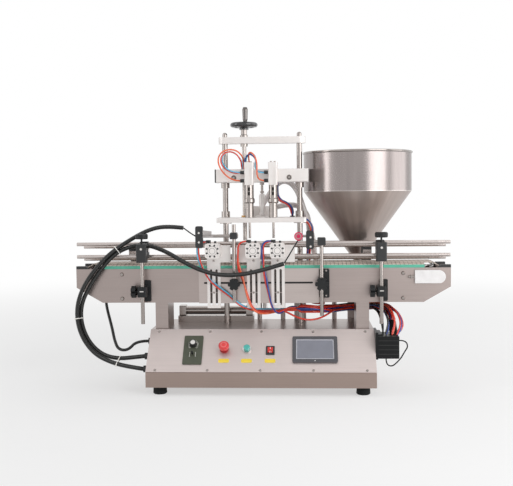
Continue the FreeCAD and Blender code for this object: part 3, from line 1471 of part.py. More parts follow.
def build():
    os.makedirs("parts", exist_ok=True)
    save("base_cabinet", base_cabinet() + cable_glands())
    save("control_panel", control_panel())
    save("rubber_feet", rubber_feet())
    save("panel_screws", panel_screws())
    save("speed_knob", speed_knob())
    save("run_lever", run_lever())
    save("switch_frames", speed_controller() + switch_frames())
    save("stop_button", stop_button())
    save("start_button", start_button())
    save("power_rocker", power_rocker())
    save("touch_screen", touch_screen())
    save("conveyor_legs", conveyor_legs())
    save("front_side_plate", front_side_plate())
    save("rear_side_plate", rear_side_plate())
    save("slat_chain", slat_chain())
    save("wear_strips", wear_strips())
    save("end_fittings", end_bearings() + takeup_cover())
    save("drive_shaft", drive_shaft())
    save("idler_shaft", idler_shaft())
    save("gear_motor", gear_motor())
    save("slotted_plate", slotted_plate())
    save("stopper_brackets", stopper_brackets())
    save("stopper_cylinders", stopper_cylinders())
    for index, place in enumerate(("left", "middle", "right")):
        save("stopper_rod_" + place, stopper_rod(index))
    save("front_guard_posts", guard_posts(True))
    save("front_guard_rails", guard_rails(True))
    save("rear_guard_posts", guard_posts(False))
    save("rear_guard_rails", guard_rails(False))
    save("side_clamps", side_clamps())
    for index, place in enumerate(("left", "right")):
        save("height_knob_" + place, height_knob(index))
        save("star_knob_" + place, star_knob(index))
        save("head_knob_" + place, head_knob(index))
        save("valve_stem_" + place, valve_stem(SIDES[index]))
    save("sensor_stands", sensor_stands() + sensors())
    save("columns", columns())
    save("top_bar", top_bar())
    save("spindle", spindle())
    save("handwheel", handwheel())
    save("wheel_handle", wheel_handle())
    save("lift_plate", lift_plate())
    save("dive_cylinder", dive_cylinder())
    save("beam", beam())
    save("beam_fittings", beam_bushes() + dive_rod())
    save("head_cylinders", head_cylinders())
    save("filling_valves", filling_valves())
    save("hopper", hopper())
    save("metering_pump", metering_pump())
    save("pump_yoke", pump_yoke())
    save("valve_block", valve_block())
    save("cable_conduits", [
        cord("conduit_a", conduit_a_points, conduit_diameter),
        cord("conduit_b", conduit_b_points, conduit_diameter),
        cord("conduit_c", conduit_c_points, motor_conduit_diameter),
    ])
    frame_tubes = [cord("sensor_cable", points, cable_diameter) for points in sensor_cable_points]
    frame_tubes.append(cord("valve_cable", valve_cable_points, cable_diameter))
    frame_tubes += [cord("stopper_tube", points, air_pair_diameter) for points in stopper_tube_points]
    frame_tubes.append(cord("main_bundle", main_points, main_bundle_diameter))
    frame_tubes.append(cord("drop_bundle", drop_points, drop_diameter))
    save("frame_tubes", frame_tubes)
    save("head_tubes", [
        cord("left_loop", left_loop_points, head_tube_diameter),
        cord("right_loop", right_loop_points, head_tube_diameter),
    ])
    lift_tubes = [cord("bundle", bundle_points, bundle_diameter)]
    for side in SIDES:
        points = [(side * head_pitch / 2, y, z) for y, z in link_hose_points]
        lift_tubes.append(cord("link_hose", points, 2 * port_radius))
    save("lift_tubes", lift_tubes)
    save("product_hoses", [cord("product_hose", points, hose_diameter) for points in product_hose_points])


build()
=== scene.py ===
import math
from functools import cached_property

import bpy
import numpy as np
from mathutils import Matrix, Vector


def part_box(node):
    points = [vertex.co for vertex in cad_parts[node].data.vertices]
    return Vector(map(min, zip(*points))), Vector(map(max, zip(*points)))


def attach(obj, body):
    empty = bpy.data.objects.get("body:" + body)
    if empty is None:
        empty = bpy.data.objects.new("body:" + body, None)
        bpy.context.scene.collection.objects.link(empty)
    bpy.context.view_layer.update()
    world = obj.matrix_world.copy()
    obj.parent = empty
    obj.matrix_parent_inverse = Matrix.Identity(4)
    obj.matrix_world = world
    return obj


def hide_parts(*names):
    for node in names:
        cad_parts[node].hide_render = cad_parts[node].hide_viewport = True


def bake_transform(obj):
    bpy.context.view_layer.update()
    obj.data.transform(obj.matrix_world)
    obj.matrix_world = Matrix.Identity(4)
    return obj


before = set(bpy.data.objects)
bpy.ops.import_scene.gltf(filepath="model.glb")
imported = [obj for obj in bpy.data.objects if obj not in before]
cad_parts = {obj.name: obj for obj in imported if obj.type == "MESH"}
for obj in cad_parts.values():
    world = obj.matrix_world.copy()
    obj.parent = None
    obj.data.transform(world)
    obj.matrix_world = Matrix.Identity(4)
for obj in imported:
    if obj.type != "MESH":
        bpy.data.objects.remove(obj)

bl_info = {
    "name": "Filling machine dressing",
    "version": (1, 0, 0),
    "blender": (4, 5, 0),
    "location": "3D View > Sidebar > Filler",
    "description": "Finishes, tubes, conduits and small trim for the bench filling machine's frame",
    "category": "Object",
}

mm = 0.001


def middle(node):
    """The middle of a node's box."""
    low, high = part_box(node)
    return tuple((a + b) / 2 for a, b in zip(low, high))


# Places on the frame, in metres

base_low, base_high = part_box("base_cabinet")
beam_low, beam_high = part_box("beam")
hopper_low, hopper_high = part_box("hopper")
hopper_x, hopper_y, hopper_seam_z = 315 * mm, 76 * mm, 618 * mm
spindle_x, spindle_y, _ = middle("spindle")
spindle_lead = 4 * mm
stopper_xs = [middle(f"stopper_rod_{which}")[0] for which in ("left", "middle", "right")]
stopper_z = middle("stopper_rod_left")[2]
sensor_post_xs = [middle(f"star_knob_{which}")[0] for which in ("left", "right")]
head_xs = (-38 * mm, 38 * mm)
guard_post_xs = (-370 * mm, 371 * mm)
slat_pitch = 12.7 * mm

# Cords: what each measures across, and the places of the two short link hoses

conduit_width, thin_conduit_width = 14 * mm, 10 * mm
cable_width = 4 * mm
tube_pair_width = 6 * mm
slack_tube_width, outer_loop_width = 6 * mm, 5 * mm
main_bundle_width, drop_bundle_width, beam_bundle_width = 22 * mm, 11 * mm, 10 * mm
product_hose_width, link_hose_width = 18 * mm, 14 * mm
link_hose_ys = (-69.7 * mm, -20.3 * mm)
link_hose_z = 560 * mm

# The control panel: its slope from the fold, and places across it and up the slope

fold_y, fold_z = base_low[1], 71 * mm
panel_run, panel_rise = 104 * mm, 116 * mm
panel_angle = math.atan2(panel_rise, panel_run)
panel_sheet = 2 * mm
dial_x, stop_x, rocker_x, screen_x = (
    middle(node)[0] for node in ("run_lever", "stop_button", "power_rocker", "touch_screen")
)
start_x = -43 * mm
dial_rise, run_switch_rise = 96 * mm, 62 * mm
stop_rise, screen_rise = 82 * mm, 80 * mm
label_rise = 42 * mm
label_width, label_height, label_thick = 33 * mm, 14 * mm, 0.6 * mm

# Cord routes in millimetres, turned into metres. They are chosen and are the same as the frame's, but the
# outer loops, the valve tubes and the slack tube are laid here alone.

conduit_a_route = np.array([
    (-365, -215, 74), (-410, -214, 80), (-466, -211, 93), (-517, -207, 117), (-554, -202, 160),
    (-574, -197, 212), (-576, -192, 268), (-559, -186, 322), (-522, -180, 379), (-474, -170, 430),
    (-415, -158, 470), (-352, -146, 504), (-296, -148, 514), (-243, -156, 508),
]) / 1000
conduit_b_route = np.array([
    (-365, -190, 109), (-399, -191, 105.5), (-447, -192, 101), (-497, -191, 112), (-540, -189, 150),
    (-566, -185, 210), (-566, -181, 269), (-544, -177, 319), (-508, -172, 374), (-466, -164, 424),
    (-418, -158.5, 450), (-358, -158.5, 457), (-296, -166, 435), (-238, -184, 402), (-171, -200, 372),
    (-99, -207, 361), (-13, -209, 371), (73, -206, 398),
]) / 1000
conduit_c_route = np.array([
    (-540, 30, 295), (-540, 30, 255), (-527.5, 0, 226), (-512.5, -27, 196.5), (-498, -55.5, 168.5),
    (-485.5, -84, 141), (-467.5, -109, 113.5), (-431, -126, 115), (-404, -125, 145), (-364, -125, 145),
]) / 1000
left_sensor_route = np.array([
    (-241.5, -156.5, 507.5), (-230, -163, 500), (-216, -174, 491), (-200, -186, 483),
]) / 1000
right_sensor_route = np.array([
    (74, -206, 399.5), (86, -202, 418), (99, -196, 440), (109, -188, 456), (116, -178, 467),
]) / 1000
valve_cable_route = np.array([
    (386, -170, 100), (386, -170, 80.5), (404, -166.5, 72), (420, -163.5, 84.5), (434, -161, 99.5),
    (444, -158.5, 117), (455.5, -156.5, 133.5), (447.5, -154, 152), (428, -154, 152),
]) / 1000
stopper_routes = [
    np.array([
        (-168.3, -180, 466), (-179.5, -181, 466), (-189, -181, 460.5), (-194.5, -181, 451),
        (-194.5, -181, 429), (-190.5, -180, 406.5), (-182.5, -178.5, 385.5), (-172, -176.5, 365.5),
        (-159, -174, 347), (-143, -171.5, 331), (-126, -168.5, 316.5), (-108.5, -165, 303),
        (-91, -162.5, 288.5), (-75, -161.5, 272.5), (-57, -156.5, 259.5), (-38.5, -146, 251.5),
        (-19.5, -135, 247), (0.5, -124.5, 244.5), (21, -115.5, 243.5), (42.5, -108.5, 243),
        (65.5, -105.5, 243), (88, -105.5, 243.5), (110, -105.5, 243.5),
    ]) / 1000,
    np.array([
        (-43.3, -180, 466), (-54.5, -181, 466), (-64, -181, 460.5), (-69.5, -181, 451),
        (-69.5, -181, 430.5), (-70, -180, 409.5), (-68, -178.5, 388.5), (-63.5, -177.5, 368),
        (-57, -176, 348), (-51, -174.5, 327.5), (-45.5, -173, 307.5), (-39.5, -171, 287.5),
        (-32.5, -168.5, 267.5), (-22, -163, 250), (-6.5, -153.5, 240), (11, -142, 237), (29, -131.5, 238),
        (48.5, -123, 241), (68.5, -117.5, 243), (89.5, -114.5, 243.5), (110, -114.5, 243.5),
    ]) / 1000,
    np.array([
        (32.7, -180, 466), (21.5, -181, 466), (12, -181, 460.5), (6.5, -181, 451), (6.5, -181, 431),
        (7, -180, 411), (8, -179, 390.5), (10.5, -177.5, 370.5), (15, -176, 350.5), (18.5, -175, 330.5),
        (22, -173.5, 310.5), (26, -172, 290.5), (30, -169.5, 270.5), (37, -164, 252), (48, -152, 240),
        (61, -136, 238.5), (74.5, -122, 244), (90, -110, 251), (110, -110, 251),
    ]) / 1000,
]
main_route = np.array([
    (110.3, -110, 246), (154.5, -110, 246), (194, -86, 241.5), (224, -51, 238.5), (262, -24, 238.5),
    (307, -12, 241), (351, -23, 246), (384, -56, 250), (405, -94.5, 235.5), (408, -128, 205),
]) / 1000
drop_route = np.array([
    (105.3, 10, 531), (132, 10, 531), (154.5, 10.2, 514.5), (162.5, 10.5, 487.5), (153.5, 10.8, 461),
    (150.5, 11.5, 433), (149, 10.5, 405), (148.5, 8, 375), (146.5, 4.5, 345), (146, -1.5, 315.5),
    (147.5, -8, 285), (152, -29, 261), (171.5, -54.5, 257), (200, -60, 257),
]) / 1000
bundle_route = np.array([
    (45, 3.3, 668), (45, 20, 668), (44.9, 35.7, 660), (44.8, 45.5, 646), (44.7, 48, 628.5),
    (44.5, 42, 612), (49.4, 31, 598.7), (61.3, 23.5, 587.6), (76, 15.8, 582), (89.3, 11.1, 571.5),
    (97, 10, 555.8), (97, 10, 539),
]) / 1000
left_loop_route = np.array([
    (-66, -99, 680), (-84, -99, 680), (-101.5, -96.5, 686), (-117, -94, 696.5), (-126, -92, 712.5),
    (-126, -89, 731), (-114.5, -85.5, 745), (-96.5, -82, 748.5), (-80, -78, 741), (-69, -73.5, 726.5),
    (-62, -68, 709.5), (-62, -68, 691.5),
]) / 1000
right_loop_route = np.array([
    (10, -99, 680), (-5, -99, 680), (-17.5, -97.5, 690), (-20, -94.5, 705.5), (-15.5, -93, 720.5),
    (-21.5, -88.5, 734), (-33.5, -80.5, 740), (-46, -72, 735), (-52, -66.5, 722), (-50, -64, 706.5),
    (-50, -64, 691.5),
]) / 1000
left_outer_route = np.array([
    (-66, -99, 654), (-84, -99.5, 655), (-106, -100, 666), (-127, -100, 688), (-137, -100, 714),
    (-133, -100, 737), (-114, -98, 752), (-90, -94, 754), (-72, -84, 747), (-59, -66, 730),
    (-58, -54, 710), (-58, -50, 692.5),
]) / 1000
right_outer_route = np.array([
    (10, -99, 654), (-4, -100, 655), (-12.5, -103, 668), (-12.5, -105, 690), (-12.5, -105, 710),
    (-17, -103, 728), (-28, -97, 743), (-39, -86, 744), (-41, -70, 732), (-40, -56, 714),
    (-40, -50, 692.5),
]) / 1000
valve_tube_routes = [
    np.array([
        (300, -12, 242.5), (332, -14, 248), (364, -34, 254), (392, -75, 256), (414, -120, 248),
        (430, -160, 228), (432, -188, 200), (416, -198, 176),
    ]) / 1000,
    np.array([
        (302, -14, 247), (334, -20, 252), (360, -46, 259), (384, -88, 260), (402, -130, 250),
        (412, -164, 228), (411, -184, 200), (402, -192, 176),
    ]) / 1000,
    np.array([
        (302, -8, 236), (336, -8, 240), (374, -32, 246), (404, -72, 247.5), (425, -115, 238),
        (438, -150, 213), (438, -168, 191), (426, -171, 182),
    ]) / 1000,
    np.array([
        (302, -16, 236), (330, -20, 238), (352, -46, 242), (367, -88, 239), (375, -128, 222),
        (377, -152, 199), (377, -164, 176),
    ]) / 1000,
    np.array([
        (301, -17, 241), (330, -24, 246), (354, -56, 252), (374, -100, 252), (388, -142, 238),
        (393, -172, 212), (389, -184, 191), (384, -186, 176),
    ]) / 1000,
]
slack_route = np.array([
    (66, -122, 242.5), (86, -128, 234), (113, -132, 220.5), (144, -130, 212.5), (175, -117, 213.5),
    (200, -99, 221.5), (219, -80, 230.5), (232, -60, 235.5),
]) / 1000
product_routes = [
    np.array([
        (-13, 18.3, 560), (-13, 55.5, 560), (-3, 87.5, 578.5), (15, 102.5, 609.5), (37.5, 95.5, 640),
        (63, 71.5, 656), (89.5, 44, 650.5), (112.5, 26, 625), (125.5, 25.5, 589), (137, 31, 552.5),
        (149.5, 32, 516), (160, 33, 479), (168, 35.5, 441), (168.5, 40.5, 402.5), (184, 47.5, 368),
        (216.5, 52, 348), (254, 52, 348),
    ]) / 1000,
    np.array([
        (13, 18.3, 560), (13, 48.5, 560), (26.5, 76, 564), (51.5, 94, 570), (82, 98, 575),
        (112, 89.5, 572.5), (135.5, 75.5, 557.5), (149, 63.5, 532), (151, 59, 501.5), (154.5, 66.5, 471),
        (161.5, 67, 440.5), (169, 72, 411), (177.5, 80.5, 382), (196, 92.5, 359.5), (224, 100, 348),
        (254, 100, 348),
    ]) / 1000,
]

# Where the pieces between two bodies bend: from the route's first point to a point from which they rest on
# the second body, which is the route's point of that number, or for the beam's bundle a place beside it

drop_rests_from = 8
hoses_rest_from = (13, 11)
bundle_bend_end = (61 * mm, 23.5 * mm, 588 * mm)

# Settings that a user may change


def seen(red, green, blue):
    """The linear colour of a colour as it is seen, from 0 to 255."""
    return tuple(
        c / 12.92 if c <= 0.04045 else ((c + 0.055) / 1.055) ** 2.4
        for c in (red / 255, green / 255, blue / 255)
    )


def colour_setting(label, words, red, green, blue):
    """A colour that a user may change, given as it is seen."""
    return bpy.props.FloatVectorProperty(
        name=label, description=words, subtype="COLOR", size=3, min=0, max=1, default=seen(red, green, blue)
    )


def number_setting(label, words, default, **more):
    """A size, a power or a strength that a user may change."""
    return bpy.props.FloatProperty(name=label, description=words, default=default, **more)


class FillerColours(bpy.types.PropertyGroup):
    """The machine's colours."""

    sheet: colour_setting("Sheet", "Brushed stainless of the side plates and legs", 166, 154, 150)
    panel: colour_setting("Panel", "Brushed stainless of the control panel", 202, 191, 188)
    skirt: colour_setting("Skirt", "Brushed stainless below the panel's fold", 160, 143, 135)
    polished: colour_setting("Polished", "Rods, columns and fittings", 158, 151, 147)
    # The rails' colour is a lighter copy of the polished steel's, painted light.
    rail: colour_setting("Rails", "The guide rails' drawn bars", 196, 187, 183)
    hopper: colour_setting("Hopper wall", "The hopper's straight wall", 150, 142, 140)
    # The cone's colour is set lighter than the wall's as painted light, making up for the darker things it
    # reflects.
    cone: colour_setting("Hopper cone", "The hopper's cone, ground the other way", 184, 171, 165)
    aluminium: colour_setting("Aluminium", "Satin aluminium plates, beam and cylinders", 232, 227, 224)
    black: colour_setting("Black plastic", "Clamps, knobs and fittings", 35, 36, 37)
    conduit: colour_setting("Conduit", "Corrugated cable conduit", 22, 23, 22)
    rubber: colour_setting("Rubber", "The four feet", 27, 29, 29)
    strip: colour_setting("Wear strip", "The green strips under the slats", 92, 184, 158)
    chain: colour_setting("Slats", "The belt's slats", 196, 183, 172)
    red_tube: colour_setting("Red tube", "Red air tubes", 222, 62, 44)
    orange_tube: colour_setting("Orange tube", "Orange air tubes", 236, 112, 72)
    blue_tube: colour_setting("Blue tube", "Dark blue air tubes", 46, 72, 148)
    sky_tube: colour_setting("Sky tube", "Light blue air tubes", 104, 190, 224)
    hose: colour_setting("Product hose", "Clear silicone hose", 250, 244, 242)
    stop: colour_setting("Stop button", "The red stop button", 224, 58, 60)
    start: colour_setting("Start button", "The green start button", 74, 182, 172)
    label: colour_setting("Label", "Bare yellow labels", 246, 216, 74)
    controller: colour_setting("Controller", "The speed controller's plate", 76, 80, 66)
    screen: colour_setting("Screen", "The touch screen's glass", 124, 126, 138)
    bezel: colour_setting("Bezel", "The touch screen's frame", 58, 57, 63)


class FillerTubes(bpy.types.PropertyGroup):
    """Sizes of what is carried along the cords."""

    rib_pitch: number_setting("Rib pitch", "From one conduit rib to the next", 3.2 * mm, unit="LENGTH")
    rib_depth: number_setting("Rib depth", "Depth of the grooves between ribs", 0.9 * mm, unit="LENGTH")
    hose_wall: number_setting("Hose wall", "Wall of the clear product hoses", 2.5 * mm, unit="LENGTH")
    tie_width: number_setting("Tie width", "Width of the white cable ties", 3.0 * mm, unit="LENGTH")


class FillerStage(bpy.types.PropertyGroup):
    """Lamps, room light and floor."""

    side_lamp: number_setting("Side lamps", "Power of each side softbox", 39.0, unit="POWER")
    top_lamp: number_setting("Top lamp", "Power of the softbox overhead", 9.0, unit="POWER")
    room: number_setting("Room light", "Strength of the soft light from all round", 0.48, min=0, max=2)
    floor_half: number_setting("Floor", "From the machine to the floor's edge", 25.0, unit="LENGTH")


def colours():
    """The colours as they are set now."""
    return bpy.context.scene.filler_colours


# Shader building


def arithmetic(operation, swapped=False):
    """A method that adds a Math node on a value and another term, in this order or swapped."""

    def method(self, other):
        terms = (other, self) if swapped else (self, other)
        return self.tree.maths(operation, *terms)

    return method


class Value:
    """A number socket in a node tree; arithmetic on it adds Math nodes."""

    def __init__(self, tree, socket):
        self.tree = tree
        self.socket = socket

    __add__ = __radd__ = arithmetic("ADD")
    __sub__ = arithmetic("SUBTRACT")
    __rsub__ = arithmetic("SUBTRACT", swapped=True)
    __mul__ = __rmul__ = arithmetic("MULTIPLY")
    __truediv__ = arithmetic("DIVIDE")
    __pow__ = arithmetic("POWER")
    __gt__ = arithmetic("GREATER_THAN")
    __lt__ = arithmetic("LESS_THAN")

    def __abs__(self):
        return self.tree.maths("ABSOLUTE", self)


def between(value, low, high):
    """1 where a value lies between two limits."""
    return (value > low) * (value < high)


def distance(across, up):
    """How far off a place is, from its distances both ways."""
    return (across ** 2.0 + up ** 2.0) ** 0.5


class Nodes:
    """A node tree, built node by node."""

    def __init__(self, tree):
        self.tree = tree
        tree.nodes.clear()

    def node(self, kind, settings=None, values=None, output=0):
        """Add a node: its settings first, then the values or links of its sockets."""
        made = self.tree.nodes.new(kind)
        for key, value in (settings or {}).items():
            setattr(made, key, value)
        for key, value in (values or {}).items():
            socket = made.inputs[key]
            if isinstance(value, Value):
                self.tree.links.new(value.socket, socket)
            elif socket.type == "RGBA":
                socket.default_value = (*value[:3], 1.0)
            else:
                socket.default_value = value
        return Value(self, made.outputs[output]) if made.outputs else None

    def maths(self, operation, *terms):
        """Add a Math node on values or numbers."""
        return self.node("ShaderNodeMath", {"operation": operation}, dict(enumerate(terms)))

    def seen_directly(self):
        """1 for rays from the camera, off metal or through glass, 0 for the rest."""
        camera, glossy, glass = (
            self.node("ShaderNodeLightPath", output=ray)
            for ray in ("Is Camera Ray", "Is Glossy Ray", "Is Transmission Ray")
        )
        return self.maths("MAXIMUM", self.maths("MAXIMUM", camera, glossy), glass)


class Finish:
    """A surface's colour, roughness, metal and relief height in metres: plain values or sockets."""

    def __init__(self, colour, rough, metal=0.0, relief=0.0):
        self.colour = colour
        self.rough = rough
        self.metal = metal
        self.relief = relief


class Shade(Nodes):
    """One material, with the piece's own coordinates in metres at hand."""

    def __init__(self, name):
        self.material = bpy.data.materials.new(name)
        self.material.use_nodes = True
        super().__init__(self.material.node_tree)
        self.place = self.node("ShaderNodeTexCoord", output="Object")
        split = self.node("ShaderNodeSeparateXYZ", {}, {0: self.place}).socket.node
        self.x, self.y, self.z = (Value(self, axis) for axis in split.outputs)

    @cached_property
    def rise(self):
        """Distance up the control panel's slope from its fold."""
        return (self.y - fold_y) * math.cos(panel_angle) + (self.z - fold_z) * math.sin(panel_angle)

    @cached_property
    def off(self):
        """Height off the control panel's sheet."""
        return (self.z - fold_z) * math.cos(panel_angle) - (self.y - fold_y) * math.sin(panel_angle)

    def cloud(self, place, scale, detail, rough):
        """Noise from 0 to 1 over any place that is worked out from the piece's own."""
        values = {"Vector": place, "Scale": scale, "Detail": detail, "Roughness": rough}
        return self.node("ShaderNodeTexNoise", {}, values)

    def noise(self, per_metre, detail=2.0, rough=0.5):
        """Noise from 0 to 1 with its own number of features a metre along each axis."""
        scaled = self.node("ShaderNodeVectorMath", {"operation": "MULTIPLY"}, {0: self.place, 1: per_metre})
        return self.cloud(scaled, 1.0, detail, rough)

    def even_noise(self, per_metre, detail=2.0, rough=0.5):
        """Noise from 0 to 1 with as many features a metre along all three axes."""
        return self.noise((per_metre,) * 3, detail, rough)

    def attribute(self, name):
        """A number that the mesh carries at each of its points."""
        return self.node("ShaderNodeAttribute", {"attribute_name": name}, output="Fac")

    def angle(self, up, across):
        """The angle of a place round a centre, in radians."""
        return self.maths("ARCTAN2", up, across)

    def from_middle(self, value):
        """How far a value is from the middle between two whole numbers, from 0 to 0.5."""
        return abs(self.maths("FRACT", value) - 0.5)

    def any_of(self, masks):
        """1 where at least one of the masks is 1."""
        return self.maths("MINIMUM", sum(masks), 1.0)

    def tint(self, colour, tone):
        """A colour made lighter or darker by a number around 1."""
        return self.node("ShaderNodeVectorMath", {"operation": "SCALE"}, {"Vector": colour, "Scale": tone})

    def mix_colour(self, mask, a, b):
        """Colour a where the mask is 0 and b where it is 1."""
        return self.node("ShaderNodeMix", {"data_type": "RGBA"}, {0: mask, 6: a, 7: b}, output=2)

    def mix_number(self, mask, a, b):
        """Number a where the mask is 0 and b where it is 1, without a node where they are the same."""
        if not isinstance(a, Value) and a == b:
            return a
        return self.node("ShaderNodeMix", {"data_type": "FLOAT"}, {0: mask, 2: a, 3: b})

    def over(self, under, upper, mask):
        """Lay one finish over another where a mask is 1."""
        return Finish(
            self.mix_colour(mask, under.colour, upper.colour),
            self.mix_number(mask, under.rough, upper.rough),
            self.mix_number(mask, under.metal, upper.metal),
            self.mix_number(mask, under.relief, upper.relief),
        )

    def mark(self, under, mask, *colour):
        """Print a colour, given as it is seen, on a finish where a mask is 1."""
        under.colour = self.mix_colour(mask, under.colour, seen(*colour))
        return under

    def inside(self, x=(None, None), y=(None, None), z=(None, None)):
        """1 inside a box, whose sides are in metres or None where it is open."""
        mask = 1.0
        for place, (low, high) in ((self.x, x), (self.y, y), (self.z, z)):
            if low is not None:
                mask = (place > low) * mask
            if high is not None:
                mask = (place < high) * mask
        return mask

    def from_axis(self, x=None, y=None, z=None):
        """Distance from an axis through two given coordinates, along the third."""
        axes = ((self.x, x), (self.y, y), (self.z, z))
        return distance(*(place - at for place, at in axes if at is not None))

    def from_panel_place(self, x, rise):
        """Distance over the control panel from a place across it and up its slope."""
        return distance(self.x - x, self.rise - rise)

    def done(self, finish, coat=0.0, transmission=0.0, specular=0.5):
        """Join a finish to the material's output."""
        values = {
            "Base Color": finish.colour, "Roughness": finish.rough, "Metallic": finish.metal,
            "Specular IOR Level": specular, "Coat Weight": coat, "Coat Roughness": 0.08,
            "Transmission Weight": transmission,
        }
        if isinstance(finish.relief, Value):
            values["Normal"] = self.node("ShaderNodeBump", {}, {"Height": finish.relief, "Distance": 1.0})
        shader = self.node("ShaderNodeBsdfPrincipled", {}, values)
        self.node("ShaderNodeOutputMaterial", {}, {"Surface": shader})
        return self.material


# Surfaces that several finishes are made of


def brushed(s, colour, rough=0.36):
    """Brushed sheet: fine grinding lines along X under soft clouds of tone."""
    lines = s.noise((5, 600, 600), 1.0)
    clouds = s.noise((6, 9, 9), 3.0)
    tone = lines * 0.16 + clouds * 0.16 + 0.84
    return Finish(s.tint(colour, tone), lines * 0.14 + rough - 0.07, 1.0, lines * 0.015 * mm)


def satin(s, colour, rough=0.42, metal=0.45):
    """Bead-blasted aluminium: a fine even grain and faint clouds."""
    grain = s.even_noise(900, 1.0)
    clouds = s.even_noise(14, 3.0)
    tone = grain * 0.08 + clouds * 0.12 + 0.9
    return Finish(s.tint(colour, tone), clouds * 0.14 + rough - 0.07, metal, grain * 0.01 * mm)


def polished(s, colour, rough=0.2):
    """Drawn bar and turned fittings, with faint handling marks."""
    marks = s.noise((60, 60, 35), 4.0)
    tone = marks * 0.16 + 0.92
    return Finish(s.tint(colour, tone), marks * 0.12 + rough - 0.1, 1.0, marks * 0.01 * mm)


def moulded(s, colour, rough=0.42):
    """Moulded plastic: a fine pebble and slight rubbing."""
    pebble = s.even_noise(700, 1.0)
    rubbing = s.even_noise(45, 3.0)
    tone = rubbing * 0.3 + 0.85
    return Finish(s.tint(colour, tone), rubbing * 0.2 + rough - 0.1, 0.0, pebble * 0.03 * mm)


def threaded(s, colour, lead, turned_x, turned_y):
    """Polished screw thread: one ridge a turn, from the angle round its axis and the height; its tone is
    darker towards the grooves as painted shade.
    """
    turns = s.angle(s.y - turned_y, s.x - turned_x) / math.tau
    ridge = s.from_middle(s.z / lead - turns) * 2.0
    bar = polished(s, colour, 0.28)
    # Painted shade: the tone is lighter on the crests and darker in the grooves.
    return Finish(s.tint(colour, ridge * 0.4 + 0.7), bar.rough, 1.0, ridge * 0.25 * mm)


def bright_finish(s):
    """Polished steel all over."""
    return polished(s, colours().polished)


def aluminium_finish(s):
    """Satin aluminium all over."""
    return satin(s, colours().aluminium)


def black_finish(s):
    """Black plastic all over."""
    return moulded(s, colours().black)


def plate_finish(s):
    """Brushed sheet all over."""
    return brushed(s, colours().sheet)


def with_screws(s, body, masks):
    """A finish with bright screws where the masks are 1."""
    return s.over(body, satin(s, seen(214, 210, 206), 0.3, 1.0), s.any_of(masks))


# Finishes of the cabinet and its control panel


def cabinet_finish(s):
    """Brushed skirt and deck, with black glands in the left wall."""
    gland_length = 13.5 * mm
    deck_from_z = base_high[2] - 1 * mm
    body = s.over(brushed(s, colours().skirt), brushed(s, colours().sheet, 0.3), s.z > deck_from_z)
    return s.over(body, black_finish(s), s.x < base_low[0] + gland_length)


def panel_finish(s):
    """Brushed panel, ground a little duller than the rest."""
    return brushed(s, colours().panel, 0.5)


def rubber_finish(s):
    """Dull black rubber."""
    return moulded(s, colours().rubber, 0.72)


def switch_frame_finish(s):
    """The controller's plate with dial ring and white lines, and the collars and frame of the switches."""
    controller_to_x, stop_to_x, rocker_from_x, plate_off = -165 * mm, -80 * mm, 0.0, 3.5 * mm
    tick_step, sweep_steps = math.radians(15), 9.6
    bar_away, bar_half_width, bar_half_height = 9 * mm, 0.8 * mm, 8 * mm
    plate = moulded(s, colours().controller, 0.5)
    away = s.from_panel_place(dial_x, dial_rise)
    turn = s.angle(s.x - dial_x, s.rise - dial_rise) / tick_step
    ticks = (s.from_middle(turn) > 0.36) * between(away, 13.4 * mm, 17 * mm)
    dial = (ticks + between(away, 12.4 * mm, 13.4 * mm)) * (abs(turn) < sweep_steps)
    bars = abs(abs(s.x - dial_x) - bar_away) < bar_half_width
    bars = bars * (abs(s.rise - run_switch_rise) < bar_half_height)
    plate = s.mark(plate, s.any_of((dial, bars)) * (s.off > plate_off), 222, 222, 214)
    start_collar = polished(s, seen(206, 202, 200), 0.26)
    rocker_frame = moulded(s, seen(36, 34, 36), 0.3)
    stop_ring = moulded(s, seen(168, 34, 38), 0.35)
    switches = s.over(start_collar, rocker_frame, s.x > rocker_from_x)
    switches = s.over(switches, stop_ring, s.x < stop_to_x)
    return s.over(switches, plate, s.x < controller_to_x)


def screen_finish(s):
    """A dark bezel, a pale line round the glass, and the glass itself with a soft sheen of dust."""
    sideways = abs(s.x - screen_x)
    upwards = abs(s.rise - screen_rise)
    lamp_drop, lamp_radius = 40.4 * mm, 1.6 * mm
    dust = s.even_noise(24, 3.0)
    glass = Finish(s.tint(colours().screen, dust * 0.25 + 0.86), dust * 0.1 + 0.12)
    line = (sideways < 57.6 * mm) * (upwards < 34.6 * mm)
    pane = (sideways < 54.8 * mm) * (upwards < 31.8 * mm)
    body = s.over(moulded(s, colours().bezel, 0.34), moulded(s, seen(186, 186, 194), 0.3), line)
    body = s.over(body, glass, pane)
    return s.mark(body, s.from_panel_place(screen_x, screen_rise - lamp_drop) < lamp_radius, 230, 230, 232)


def stop_finish(s):
    """Red mushroom with a fine pale ring pressed into its top."""
    red = moulded(s, colours().stop, 0.3)
    top_off = 12 * mm
    ring = between(s.from_panel_place(stop_x, stop_rise), 7.6 * mm, 9.0 * mm) * (s.off > top_off)
    return s.mark(red, ring * 0.55, 244, 190, 186)


def start_finish(s):
    """Glossy green cap."""
    return moulded(s, colours().start, 0.28)


def rocker_finish(s):
    """Red rocker with its plain line above and ring below."""
    line_rise, ring_rise = 85 * mm, 71 * mm
    red = moulded(s, seen(206, 42, 36), 0.22)
    line = (abs(s.x - rocker_x) < 0.9 * mm) * (abs(s.rise - line_rise) < 3.4 * mm)
    ring = between(s.from_panel_place(rocker_x, ring_rise), 2.0 * mm, 3.4 * mm)
    return s.mark(red, s.any_of((line, ring)), 244, 226, 220)


